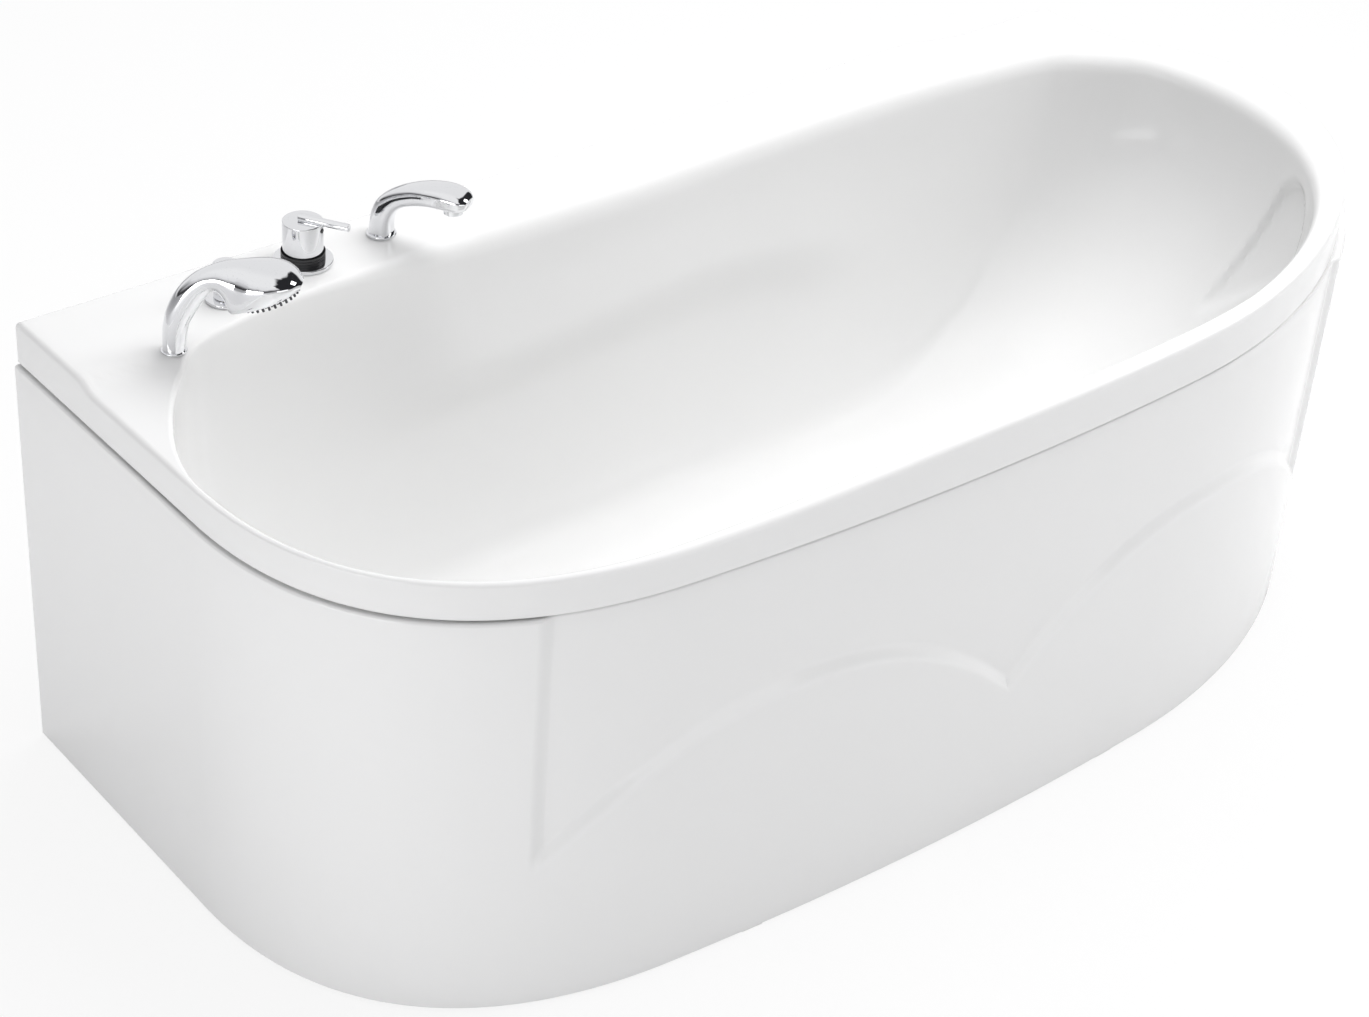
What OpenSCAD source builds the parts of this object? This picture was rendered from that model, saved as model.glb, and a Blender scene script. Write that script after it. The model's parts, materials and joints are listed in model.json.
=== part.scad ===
// Built-in acrylic bathtub for one long wall: an asymmetric oval bowl with a tap deck at the foot
// end, a wrap-round apron panel with an arched relief, a steel underframe on screw feet, a pop-up
// waste with overflow, and a deck set of lever mixer, diverter, swan spout and docked hand shower.
// Frame: +X runs along the wall from the foot end to the head end, +Y points at the wall, +Z is up.
// The origin is on the floor, under the middle of the tub. All lengths are in millimetres.

/* [Tub] */
// Overall length along the wall
tub_l = 1800; // [1650:10:1900]
// Overall depth from the wall to the panel's face
tub_w = 815; // [780:5:860]
// Height of the tap deck above the floor
deck_z = 617; // [606:1:640]
// Height of the bowl's floor at the waste
floor_z = 165; // [158:1:190]
// Fall of the bowl's floor towards the waste
floor_fall = 5; // [3:0.5:8]
// Thickness of the acrylic shell with its backing
shell_t = 5; // [4:0.5:6]

/* [Rim] */
// Height of the rim's skirt, from the tap deck down to its lower edge
skirt_h = 56; // [47:1:64]
// How far the rim stands inside the panel's face along the foot end and the front
rim_inset = 5; // [3:0.5:7]
// How far it stands inside the panel's face at the head end
head_inset = 12; // [6:0.5:16]
// Radius of the rim's outer edge
edge_r = 9; // [5:0.5:12]
// Radius of the lip at the foot end, where the deck turns down into the bowl
lip_r = 7; // [5:0.5:10]
// Radius of the lip at the head end
head_lip_r = 36; // [24:1:44]
// Width of the rolled rise beside the head end's lip
roll_w = 62; // [50:1:80]
// Drop from the tap deck to the front deck
deck_drop = 10; // [4:0.5:12]
// Distance from the wall to the drop at the foot end
drop_from_wall = 155; // [150:1:165]
// How much further from the wall the drop runs beside the hand shower
drop_swing = 25; // [20:1:35]
// Length of the slope at the drop
drop_run = 26; // [16:1:40]
// Rise of the front rim towards the head end
front_rise = 14; // [8:1:20]
// Rise of the wave in the wall rim
wave_rise = 8; // [4:1:16]
// Fall of the head end's corner deck below the tap deck
corner_fall = 5; // [0:1:8]

/* [Bowl] */
// How far the armrests stand into the bowl
armrest_out = 26; // [12:1:32]
// Depth of the teardrop scoop in the head end's wall
scoop_depth = 9; // [4:0.5:12]
// Depth of the scoop's round end below the lip
scoop_top = 92; // [80:1:110]
// Depth of the scoop's tail below the lip
scoop_tail = 226; // [200:1:250]
// Radius of the scoop's round end
scoop_r = 66; // [50:1:76]
// Radius of the scoop's tail
scoop_tail_r = 8; // [5:0.5:14]
// Width of the scoop's edge fillet
scoop_edge = 14; // [10:1:24]
// Radius of the flat round the waste
waste_flat_r = 44; // [42:1:60]

/* [Panel] */
// Thickness of the panel's sheet
panel_t = 4; // [3:0.5:5]
// Height of the panel's lower edge above the floor
panel_foot = 3; // [1:0.5:6]
// Gap between the panel and the rim's skirt
panel_gap = 3; // [1:0.5:4]
// Depth of the relief above the arches
relief = 8; // [4:0.5:9]
// Height of the cusps between the arches
cusp_z = 215; // [180:1:240]
// Rise of an arch above its cusps
arch_rise = 153; // [120:1:190]
// Height of the sloping band that follows the arches
band_h = 24; // [16:1:36]
// Width of the sloping crease at the ends of the relief
crease_w = 22; // [16:1:40]
// Radius of the panel's upper edge
panel_edge_r = 4; // [2:0.5:6]
// Depth of the flange along the panel's upper edge
flange_w = 8; // [6:0.5:9]

/* [Frame] */
// Side of the frame's square tubes
tube_w = 30; // [25:1:35]
// Wall of the frame's tubes
tube_wall = 2; // [1.5:0.5:3]
// Thickness of the bearer board under the bowl's floor
board_t = 18; // [15:1:22]
// Radius of the foot studs
stud_r = 6; // [5:0.5:8]
// Width across the flats of the lock nuts
nut_w = 19; // [17:1:24]
// Height of a lock nut
nut_h = 10; // [8:1:12]
// Radius of the foot pads
foot_r = 24; // [20:1:26]
// Height of the foot pads
foot_h = 14; // [10:1:20]
// Side of the tall posts under the deck's corners
post_w = 25; // [20:1:30]

/* [Wall brackets] */
// Length of a wall bracket
bracket_l = 60; // [50:1:80]
// Height of a wall bracket's plate below the skirt
bracket_h = 46; // [40:1:60]
// Height of its tongue behind the skirt
bracket_tongue = 34; // [24:1:36]
// Thickness of the brackets' steel
bracket_t = 2.5; // [2:0.5:3]
// Radius of the brackets' screw holes
bracket_hole_r = 3; // [2.5:0.25:3.5]
// Distance between a bracket's two screw holes
bracket_hole_pitch = 36; // [30:1:40]

/* [Waste] */
// Radius of the waste flange
flange_r = 35; // [32:0.5:38]
// Thickness of the waste flange
flange_t = 3; // [2:0.5:4]
// Radius of the hole in the bowl's floor
waste_hole_r = 26; // [25:0.5:28]
// Outer radius of the flange's tail
tail_r = 24; // [22:0.5:24.5]
// Bore radius of the flange's tail
tail_bore_r = 20; // [18:0.5:20.5]
// Length of the flange's tail
tail_h = 44; // [40:1:52]
// Radius of the plug
plug_r = 29; // [27:0.5:30]
// Height of the plug's crown above its rim
plug_crown = 5; // [3:0.5:8]
// Radius of the plug's stem
stem_r = 4; // [3:0.5:5]
// Lift of the plug when open
plug_lift = 8; // [5:0.5:10]
// Outer radius of the waste body
waste_body_r = 33; // [31:0.5:36]
// Height of the waste body
waste_body_h = 52; // [50:1:56]
// Outer radius of the trap
trap_r = 44; // [40:1:50]
// Height of the trap's bottom above the floor
trap_z = 18; // [12:1:30]
// Outer radius of the trap's outlet pipe
outlet_r = 20; // [18:0.5:22]
// Wall of the pipes
pipe_wall = 2; // [1.5:0.5:3]
// Length of the outlet pipe, from the waste's centre
outlet_run = 420; // [380:5:424]
// Length of its narrow end, which a waste pipe slides over
outlet_end_l = 60; // [50:1:80]
// Turn of the outlet pipe away from the tub's depth, in degrees
outlet_turn = 13; // [11:1:16]
// Height of the outlet pipe's centre
outlet_z = 58; // [54:1:66]

/* [Overflow] */
// Depth of the overflow below the deck
overflow_depth = 112; // [104:1:120]
// Radius of the overflow's face ring
overflow_r = 27; // [26:0.5:30]
// Thickness of the face ring
overflow_ring_t = 5; // [4:0.5:7]
// Radius of the turning knob
knob_r = 23; // [20:0.5:24]
// Thickness of the turning knob
knob_t = 11; // [9:0.5:14]
// Outer radius of the overflow pipe
over_pipe_r = 9; // [8:0.5:9.5]
// Depth of the overflow body behind the bowl's wall
over_body_t = 20; // [20:0.5:23]
// Height of the overflow pipe's level run
over_run_z = 131; // [129:1:134]
// Bend radius of the overflow pipe
over_bend_r = 34; // [30:1:42]

/* [Mixer] */
// Radius of the mixer's base disc
mixer_disc_r = 37; // [33:0.5:39]
// Thickness of the base disc
mixer_disc_h = 5.4; // [4:0.2:7]
// Outer radius of the black ring under the cap
ring_r = 27.3; // [26.8:0.1:28]
// Radius of the cap
cap_r = 25.2; // [24:0.1:26]
// Height of the cap
cap_h = 42.4; // [38:0.2:46]
// Wall of the cap
cap_wall = 4.2; // [3.6:0.1:4.8]
// Height of the cap's lower edge above the base disc
cap_gap = 9.2; // [8:0.2:11]
// Height of the tilting axis above the cap's lower edge
tilt_h = 20; // [18:0.5:22]
// Radius of the lever pin
pin_r = 5; // [4:0.25:6]
// Length of the lever pin
pin_l = 66; // [56:1:76]
// Length of the pin behind the mixer's axis
pin_back = 5; // [3:0.5:8]
// Depth that the pin sits in the cap
pin_sunk = 1.8; // [1:0.1:2.5]
// Direction of the lever pin, in degrees from +X
lever_angle = -57; // [-75:1:-40]
// Radius of the set screw's black plug
plug_dot_r = 3; // [2:0.25:3.5]
// Radius of the cross pin that the cap tilts on
cross_r = 3; // [2.5:0.25:3.5]
// Radius of the mixer's shank through the deck
shank_r = 16.5; // [15:0.5:17]
// Length of the shank below the deck
shank_l = 40; // [34:1:48]
// Radius of the valve block below the deck
valve_r = 23; // [21:0.5:24]
// Height of the valve block
valve_h = 38; // [32:1:44]
// Outer radius of the inlet tails, half inch pipe thread
inlet_r = 10.4; // [10:0.1:10.6]
// Length of the inlet tails
inlet_l = 34; // [28:1:40]

/* [Diverter] */
// Radius of the diverter's base disc
diverter_disc_r = 26; // [24:0.5:28]
// Thickness of the base disc
diverter_disc_h = 4.5; // [3:0.5:6]
// Radius of the diverter's knob
diverter_knob_r = 16; // [14:0.5:18]
// Height of the diverter's knob
diverter_knob_h = 44; // [38:1:50]

/* [Spout] */
// Radius of the spout's base disc
spout_disc_r = 19; // [17:0.5:22]
// Thickness of the base disc
spout_disc_h = 4; // [3:0.5:5]
// Reach of the spout from its axis to its tip
spout_reach = 121; // [105:1:135]
// Height of the spout's crest above its base disc
spout_h = 84; // [76:1:94]
// Half width of the spout at its head
spout_half_w = 20; // [17:0.5:23]
// Direction of the spout, in degrees from +X
spout_angle = -62; // [-75:1:-50]
// Radius of the aerator
aerator_r = 12.5; // [11:0.5:14]
// Height of the aerator
aerator_h = 13; // [10:0.5:16]

/* [Hand shower] */
// Reach of the hand shower from its axis to its tip
handset_reach = 152; // [136:1:168]
// Height of the hand shower's crown above the deck
handset_h = 112; // [100:1:124]
// Half width of its head
handset_half_w = 33; // [29:0.5:37]
// Direction of its head, in degrees from +X
handset_angle = -40; // [-55:1:-25]
// Radius of its docking ring
dock_r = 15.5; // [15:0.25:17]
// Height of its docking ring
dock_h = 1.6; // [1:0.2:3]
// Radius of the socket's tube below the deck
socket_r = 10.5; // [10:0.1:10.6]
// Length of the socket's tube
socket_l = 46; // [40:1:56]
// Radius of the hand shower's hose nut
hose_nut_r = 8; // [7:0.1:8.2]
// Radius of a spray nozzle
nozzle_r = 1.5; // [1:0.1:2]
// Height of a spray nozzle
nozzle_h = 4; // [3:0.25:5]
// Thickness of the spray plate
spray_t = 2.5; // [2:0.25:4]

/* [Clearances] */
// Clearance between a shank and its hole in the deck
hole_clear = 0.7; // [0.4:0.1:1]
// Clearance between pieces that sit beside each other
seat = 0.3; // [0.2:0.05:0.5]
// Radial clearance of a turning shaft in its bore
run_clear = 0.05; // [0.02:0.01:0.09]
// Thickness of the rubber washers
washer_t = 3; // [2:0.5:4]

/* [Hidden] */

// The cutting tools' overrun
over = seat;
// Height of the skirt's lower edge above the floor
skirt_z = deck_z - skirt_h;
// Sides of the tub
foot_x = -tub_l / 2;
head_x = tub_l / 2;
wall_y = tub_w / 2;

// Number of points along each stretch of the plan, from the foot end round the front to the wall
side_steps = [8, 12, 12, 24, 6, 3];
wall_steps = [10, 8];
all_steps = concat(side_steps, wall_steps);
around = 83;

// The panel's plan line, as shares of the tub's length and depth from the foot end's wall corner.
// Each stretch has its start and two handles, and ends where the next one starts.
outline_shares = [
    [[0, 0], [0, 0.16], [0, 0.33]],
    [[0, 0.491], [0, 0.797], [0.089, 0.946]],
    [[0.222, 0.973], [0.367, 1.003], [0.511, 1.0085]],
    [[0.656, 0.990], [0.839, 0.969], [1, 0.736]],
    [[1, 0.423], [1, 0.276], [0.959, 0.203]],
    [[0.952, 0.098], [0.950, 0.065], [0.948, 0.033]],
    [[0.948, 0], [0.817, 0], [0.622, 0]]];
// The lip's plan line, stretch by stretch beside the outline
lip_shares = [
    [[0.089, 0.191], [0.062, 0.215], [0.0078, 0.368]],
    [[0.0078, 0.497], [0.0078, 0.785], [0.092, 0.929]],
    [[0.223, 0.945], [0.367, 0.967], [0.511, 0.969]],
    [[0.656, 0.951], [0.822, 0.930], [0.964, 0.706]],
    [[0.953, 0.405], [0.949, 0.322], [0.936, 0.252]],
    [[0.911, 0.209], [0.901, 0.190], [0.891, 0.176]],
    [[0.881, 0.166], [0.839, 0.125], [0.639, 0.137]],
    [[0.489, 0.152], [0.356, 0.167], [0.167, 0.126]]];
// Places of the deck fittings, the waste and what carries the tub, as shares from the same corner
mixer_shares = [0.2011, 0.0736];
diverter_shares = [0.1317, 0.108];
spout_shares = [0.2667, 0.0663];
handset_shares = [0.07, 0.189];
waste_share = 0.2083;
rail_row_shares = [0.331, 0.724];
rail_end_shares = [0.0694, 0.889];
crossbar_shares = [0.0778, 0.4222, 0.8806];
crossbar_end_shares = [0.043, 0.761];
foot_near_share = 0.0736;
foot_far_shares = [0.687, 0.724, 0.687];
post_share = 0.0736;
bracket_shares = [0.3556, 0.6889];
board_x_shares = [0.1694, 0.5972];
board_y_shares = [0.352, 0.72];
// Centre that the bowl draws in to, and the size of its floor beside its lip
bowl_centre_shares = [0.318, 0.536];
bowl_floor_shares = [0.488, 0.586];
// Squareness of the bowl's section: at the long walls, and its fall towards the head and the foot
wall_power = 3.2;
head_power_drop = 1.5;
foot_power_drop = 0.7;
// Depth shares of the rings down the bowl's wall
level_shares = [0, 0.05, 0.1, 0.15, 0.2, 0.25, 0.3, 0.35, 0.4, 0.46, 0.53, 0.62, 0.72, 0.82, 0.9,
    0.95, 0.98, 0.995, 1];
under_level_shares = [0.12, 0.3, 0.5, 0.7, 0.86, 0.95, 0.99, 1];
// Shares of the deck's width at which its rings lie
deck_ring_shares = [0, 0.25, 0.5, 0.75, 1];
// Where the rim's heights change along the tub
front_rise_shares = [0.217, 0.472];
wave_shares = [0.428, 0.772, 0.848];
head_depth_shares = [0.209, 0.536];
corner_depth_shares = [0.147, 0.368];
front_lip_shares = [0.667, 0.889];
wall_lip_shares = [0.144, 0.389];
drop_swing_shares = [0.033, 0.072];
head_inset_shares = [0.62, 0.9];
// Where the armrests start and end along the tub, and the depth shares of their ledges
armrest_start_shares = [0.183, 0.311];
armrest_end_shares = [0.64, 0.74];
ledge_mid_share = 0.5;
ledge_half_share = 0.244;
ledge_depth_share = 0.27;
ledge_foot_share = 0.08;
ledge_head_share = 0.2;
ledge_top_share = 0.06;
ledge_fall_share = 0.24;
// Length of the head end's stretch of lip that the scoop is measured along, and its places there
scoop_run_share = 0.406;
scoop_round_share = 0.678;
scoop_tail_share = 0.799;

// The panel's plain corner and one arch, as shares of the panel's run
corner_run_share = 0.2803;
arch_run_share = 0.2273;

// Smooth steps, blends and curves
function clamp01(v) = max(0, min(1, v));
function ease(a, b, v) = let (t = clamp01((v - a) / (b - a))) t * t * (3 - 2 * t);
function mix(a, b, t) = a + (b - a) * t;
function unit(v) = v / norm(v);
function bezier(p, t) = pow(1 - t, 3) * p[0] + 3 * pow(1 - t, 2) * t * p[1]
    + 3 * (1 - t) * t * t * p[2] + pow(t, 3) * p[3];
function plan(s) = [foot_x + s[0] * tub_l, wall_y - s[1] * tub_w];
function curve(table, steps, split) = [for (i = [0 : len(steps) - 1])
    let (last = table[(i + 1) % len(table)][0])
    for (j = [0 : steps[i] * split - 1])
        plan(bezier([table[i][0], table[i][1], table[i][2], last], j / (steps[i] * split)))];

// Distances of a point from the foot end and from the wall
function along(p) = p[0] - foot_x;
function from_wall(p) = wall_y - p[1];

// Plan lines of the panel's face, the rim and the lip
side_line = concat(curve(outline_shares, side_steps, 1), [plan(outline_shares[6][0])]);
side_count = len(side_line);
function tangent(line, i) = unit(line[min(i + 1, len(line) - 1)] - line[max(i - 1, 0)]);
function inward(line, i) = let (t = tangent(line, i)) [-t[1], t[0]];
function inset_at(p) = mix(rim_inset, head_inset,
    ease(head_inset_shares[0] * tub_l, head_inset_shares[1] * tub_l, along(p)));
rim_side = [for (i = [0 : side_count - 1]) side_line[i] + inward(side_line, i) * inset_at(side_line[i])];
wall_count = wall_steps[0] + wall_steps[1];
rim_line = concat([for (i = [0 : side_count - 2]) rim_side[i]],
    [for (j = [0 : wall_count - 1])
        [mix(rim_side[side_count - 1][0], rim_side[0][0], j / wall_count), wall_y]]);
lip_line = curve(lip_shares, all_steps, 1);
bowl_centre = plan(bowl_centre_shares);

// Heights of the rim and the deck
function head_share(p) = 1
    - ease(head_depth_shares[0] * tub_w, head_depth_shares[1] * tub_w, from_wall(p));
function drop_line(p) = drop_from_wall
    + drop_swing * ease(drop_swing_shares[0] * tub_l, drop_swing_shares[1] * tub_l, along(p));
function foot_share(p) = 1
    - ease(drop_line(p) - drop_run / 2, drop_line(p) + drop_run / 2, from_wall(p));
function base_z(p) = deck_z - deck_drop * (1 - (along(p) < tub_l / 2 ? foot_share(p) : head_share(p)));
function rise_at(p) = mix(
    front_rise * ease(front_rise_shares[0] * tub_l, front_rise_shares[1] * tub_l, along(p)),
    wave_rise * ease(wave_shares[0] * tub_l, wave_shares[1] * tub_l, along(p)), head_share(p));
function corner_share(p) = ease(wave_shares[1] * tub_l, wave_shares[2] * tub_l, along(p))
    * (1 - ease(corner_depth_shares[0] * tub_w, corner_depth_shares[1] * tub_w, from_wall(p)));
function outer_rise(p) = mix(rise_at(p), -corner_fall, corner_share(p));
function lip_radius(p) = mix(
    mix(lip_r, head_lip_r, ease(front_lip_shares[0] * tub_l, front_lip_shares[1] * tub_l, along(p))),
    mix(lip_r, head_lip_r, ease(wall_lip_shares[0] * tub_l, wall_lip_shares[1] * tub_l, along(p))),
    head_share(p));

// Sizes of the rim's section beside each point of the plan
narrow_share = 0.45;
arc_share = 0.293;
function rim_w(k) = norm(lip_line[k] - rim_line[k]);
function rim_dir(k) = unit(lip_line[k] - rim_line[k]);
function edge_at(k) = min(edge_r, rim_w(k) * narrow_share);
function lip_at(k) = min(lip_radius(lip_line[k]), rim_w(k) * narrow_share);
function edge_z(k) = base_z(rim_line[k]) + outer_rise(rim_line[k]);
function lip_z(k) = base_z(lip_line[k]) + rise_at(lip_line[k]);
function rise3(p, z) = [p[0], p[1], z];

// A ring of the deck, at a share of the way from its outer edge to the lip
function deck_point(k, share) = let (
    d = mix(rim_w(k) - edge_at(k), lip_at(k), share),
    p = lip_line[k] - rim_dir(k) * d,
    roll = ease(min(roll_w, rim_w(k) - edge_at(k)), lip_at(k), d))
    rise3(p, base_z(p) + mix(outer_rise(rim_line[k]), rise_at(lip_line[k]), roll));
function edge_point(k, in, down) = rise3(rim_line[k] + rim_dir(k) * edge_at(k) * in,
    edge_z(k) - edge_at(k) * down);
function fillet_point(k) = rise3(lip_line[k] - rim_dir(k) * lip_at(k) * arc_share,
    lip_z(k) - lip_at(k) * arc_share);

// The bowl: the lip drawn in towards its centre, down a section like a superellipse's quarter
function bowl_power(k) = wall_power
    - head_power_drop * pow(clamp01((lip_line[k][0] - bowl_centre[0]) / (head_x - bowl_centre[0])), 2)
    - foot_power_drop * pow(clamp01((bowl_centre[0] - lip_line[k][0]) / (bowl_centre[0] - foot_x)), 2);
function draw_in(k, q) = let (n = bowl_power(k)) 1 - pow(1 - pow(q, n), 1 / n);
bowl_top_z = [for (k = [0 : around - 1]) lip_z(k) - lip_at(k)];
edge_floor_z = floor_z + floor_fall;
function outward(k) = unit(lip_line[k] - bowl_centre);

// The armrests: a ledge along both long walls
function ledge_share(x) = let (u = (x / tub_l - ledge_mid_share) / ledge_half_share)
    ledge_depth_share + (u < 0 ? ledge_foot_share : ledge_head_share) * u * u;
function armrest(k, q) = let (x = along(lip_line[k]), top = ledge_share(x))
    armrest_out * ease(armrest_start_shares[0] * tub_l, armrest_start_shares[1] * tub_l, x)
    * (1 - ease(armrest_end_shares[0] * tub_l, armrest_end_shares[1] * tub_l, x))
    * clamp01((q - ledge_top_share) / (top - ledge_top_share)) * (1 - ease(top, top + ledge_fall_share, q));

// The scoop: a teardrop on the head end's wall, measured along the lip and down from it
scoop_first = side_steps[0] + side_steps[1] + side_steps[2];
function taper_distance(p, a, b, ra, rb) = let (t = clamp01((p - a) * (b - a) / ((b - a) * (b - a))))
    norm(p - mix(a, b, t)) - mix(ra, rb, t);
function scoop(k, depth) = let (run = scoop_run_share * tub_l,
    p = [run * (k - scoop_first) / side_steps[3], depth],
    d = taper_distance(p, [run * scoop_round_share, scoop_top], [run * scoop_tail_share, scoop_tail],
        scoop_r, scoop_tail_r))
    scoop_depth * (1 - ease(-scoop_edge / 2, scoop_edge / 2, d));

function bowl_xy(k, q) = let (p = draw_in(k, q), r = lip_line[k] - bowl_centre)
    bowl_centre + [r[0] * mix(1, bowl_floor_shares[0], p), r[1] * mix(1, bowl_floor_shares[1], p)];
function bowl_point(k, q) = let (depth = (bowl_top_z[k] - edge_floor_z) * q)
    rise3(bowl_xy(k, q) + outward(k) * (scoop(k, depth) - armrest(k, q)), bowl_top_z[k] - depth);
waste_xy = [foot_x + waste_share * tub_l, bowl_centre[1]];
function flat_xy(k) = waste_xy + unit(bowl_xy(k, 1) - waste_xy) * waste_flat_r;
function flat_point(k, z) = rise3(flat_xy(k), z);
function floor_point(k, share) = rise3(mix(bowl_xy(k, 1), flat_xy(k), share),
    mix(edge_floor_z, floor_z, share));

// The shell's back: the same rings, set off by the shell's thickness
function back_t(k) = min(shell_t, rim_w(k) / 2 - seat);
function wall_normal(k, q) = let (n = bowl_power(k), p = draw_in(k, q),
    w = norm(lip_line[k] - bowl_xy(k, 1)), h = bowl_top_z[k] - edge_floor_z)
    unit([pow(1 - p, n - 1) / w, pow(q, n - 1) / h]);
function back_point(k, q) = let (m = wall_normal(k, q), p = bowl_point(k, q), o = outward(k))
    p + [o[0] * m[0] * shell_t, o[1] * m[0] * shell_t, -m[1] * shell_t];
function deck_back_point(k, share) = deck_point(k, share) - [0, 0, shell_t];

// A surface lofted through rings of points and closed at its first and last ring by strips
function flipped(f, flip) = flip ? [f[2], f[1], f[0]] : f;
function cap(n, base, flip) = [for (i = [0 : ceil(n / 2) - 2]) let (a = base + i, b = a + 1,
    c = base + n - 2 - i, d = c + 1)
    each b < c ? [flipped([a, b, c], flip), flipped([a, c, d], flip)] : [flipped([a, b, d], flip)]];
module loft(rings) {
    n = len(rings[0]);
    m = len(rings);
    points = [for (r = rings) for (p = r) p];
    sides = [for (i = [0 : m - 2]) for (k = [0 : n - 1]) let (
        a = i * n + k, b = i * n + (k + 1) % n, c = (i + 1) * n + (k + 1) % n, d = (i + 1) * n + k)
        for (f = [[a, d, c], [a, c, b]]) f];
    polyhedron(points = points, faces = concat(sides, cap(n, 0, false), cap(n, (m - 1) * n, true)),
        convexity = 8);
}

ks = [for (k = [0 : around - 1]) k];
module shell_solid() {
    loft(concat(
        [[for (k = ks) flat_point(k, floor_z - shell_t)]],
        [[for (k = ks) floor_point(k, 0.5) - [0, 0, shell_t]]],
        [for (i = [len(under_level_shares) - 1 : -1 : 0])
            [for (k = ks) back_point(k, under_level_shares[i])]],
        [[for (k = ks) rise3(lip_line[k] - rim_dir(k) * back_t(k), bowl_top_z[k])]],
        [[for (k = ks) deck_back_point(k, 1)]],
        [[for (k = ks) deck_back_point(k, 0.5)]],
        [[for (k = ks) rise3(rim_line[k] + rim_dir(k) * back_t(k), edge_z(k) - shell_t)]],
        [[for (k = ks) rise3(rim_line[k] + rim_dir(k) * back_t(k), skirt_z)]],
        [[for (k = ks) rise3(rim_line[k], skirt_z)]],
        [[for (k = ks) edge_point(k, 0, 1)]],
        [[for (k = ks) edge_point(k, arc_share, arc_share)]],
        [for (s = deck_ring_shares) [for (k = ks) deck_point(k, s)]],
        [[for (k = ks) fillet_point(k)]],
        [for (q = level_shares) [for (k = ks) bowl_point(k, q)]],
        [[for (k = ks) floor_point(k, 0.5)]],
        [[for (k = ks) flat_point(k, floor_z)]]));
}

// Places of the fittings on the deck, and the radii of what passes through it
mixer_xy = plan(mixer_shares);
diverter_xy = plan(diverter_shares);
spout_xy = plan(spout_shares);
handset_xy = plan(handset_shares);
diverter_shank_r = 13;
spout_shank_r = 10;
deck_holes = [[mixer_xy, shank_r], [diverter_xy, diverter_shank_r], [spout_xy, spout_shank_r],
    [handset_xy, socket_r]];
deck_pad_shares = [2, 1.8, 1.7, 1.4];
nut_shares = [1.45, 1.45, 1.45, 1.2];
deck_under_z = deck_z - shell_t;
module at(xy, z) {
    translate([xy[0], xy[1], z]) children();
}
module ring(outer, inner, h) {
    difference() {
        cylinder(r = outer, h = h);
        translate([0, 0, -over]) cylinder(r = inner, h = h + 2 * over);
    }
}
module bar(size) {
    translate([-size[0] / 2, -size[1] / 2, 0]) cube(size);
}

// The overflow's place on the foot end's wall, and the way its axis points into the bowl
overflow_k = 5;
overflow_z = deck_z - overflow_depth;
overflow_q = (bowl_top_z[overflow_k] - overflow_z) / (bowl_top_z[overflow_k] - edge_floor_z);
overflow_xy = bowl_xy(overflow_k, overflow_q);
overflow_chord = bowl_xy(overflow_k + 1, overflow_q) - bowl_xy(overflow_k - 1, overflow_q);
overflow_angle = atan2(overflow_chord[0], -overflow_chord[1]);
overflow_bore_r = 19;
over_pad = 4;
over_back = shell_t + over_pad / 2;
module at_overflow(x) {
    translate([overflow_xy[0], overflow_xy[1], overflow_z]) rotate([0, 0, overflow_angle])
        rotate([0, 90, 0]) translate([0, 0, x]) children();
}

module bath_shell() {
    color("white") difference() {
        union() {
            shell_solid();
            for (i = [0 : len(deck_holes) - 1]) at(deck_holes[i][0], deck_under_z)
                cylinder(r = deck_holes[i][1] * deck_pad_shares[i], h = shell_t);
            at_overflow(-over_back) cylinder(r = overflow_r, h = over_back + over_pad);
        }
        for (i = [0 : len(deck_holes) - 1]) {
            at(deck_holes[i][0], deck_under_z - over)
                cylinder(r = deck_holes[i][1] + hole_clear, h = shell_t + 2 * over);
            at(deck_holes[i][0], deck_under_z - deck_drop - shell_t)
                cylinder(r = deck_holes[i][1] * nut_shares[i] + hole_clear, h = deck_drop + shell_t);
        }
        at_overflow(-over_back - over)
            cylinder(r = overflow_bore_r + seat, h = over_back + over_pad + 2 * over);
        at(waste_xy, floor_z - shell_t - over) cylinder(r = waste_hole_r, h = shell_t + 2 * over);
    }
}

// The apron panel: one closed section, moved along the panel's plan line by distance from its start
fine_split = 4;
face_line = concat(curve(outline_shares, side_steps, fine_split), [plan(outline_shares[6][0])]);
face_count = len(face_line);
face_s = [for (i = 0, a = 0; i < face_count;
    a = a + (i < face_count - 1 ? norm(face_line[i + 1] - face_line[i]) : 0), i = i + 1) a];
face_x = [for (i = [0 : face_count - 1]) [face_s[i], face_line[i][0]]];
face_y = [for (i = [0 : face_count - 1]) [face_s[i], face_line[i][1]]];
panel_run = face_s[face_count - 1];
slope_step = 6;
function face_at(s) = [lookup(s, face_x), lookup(s, face_y)];
function face_in(s) = let (a = max(0, s - slope_step), b = min(panel_run, s + slope_step),
    t = unit(face_at(b) - face_at(a))) [-t[1], t[0]];
arch_power = 2.2;
corner_run = corner_run_share * panel_run;
arch_run = arch_run_share * panel_run;
relief_end = corner_run + 2 * arch_run;
function arch_u(s) = let (t = (s - corner_run) / arch_run)
    s < corner_run || s > relief_end ? 1 : 2 * (t - floor(t)) - 1;
function arch_z(s) = cusp_z + arch_rise * (1 - pow(abs(arch_u(s)), arch_power));
function relief_at(s) = relief * ease(corner_run - crease_w / 2, corner_run + crease_w / 2, s)
    * (1 - ease(relief_end - crease_w / 2, relief_end + crease_w / 2, s));
panel_top_z = skirt_z - panel_gap;
narrow_flange = panel_t + 2 * over;
clip_sag = 1;
clip_t = 2.4;
function clip_in(s) = inset_at(face_at(s)) + shell_t + seat + clip_sag;
function wide_flange(s) = clip_in(s) + clip_t + seat;
function flange_at(s) = max(relief_at(s) + narrow_flange,
    mix(flange_w, wide_flange(s), ease(corner_run, corner_run + arch_run / 4, s)));
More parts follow.
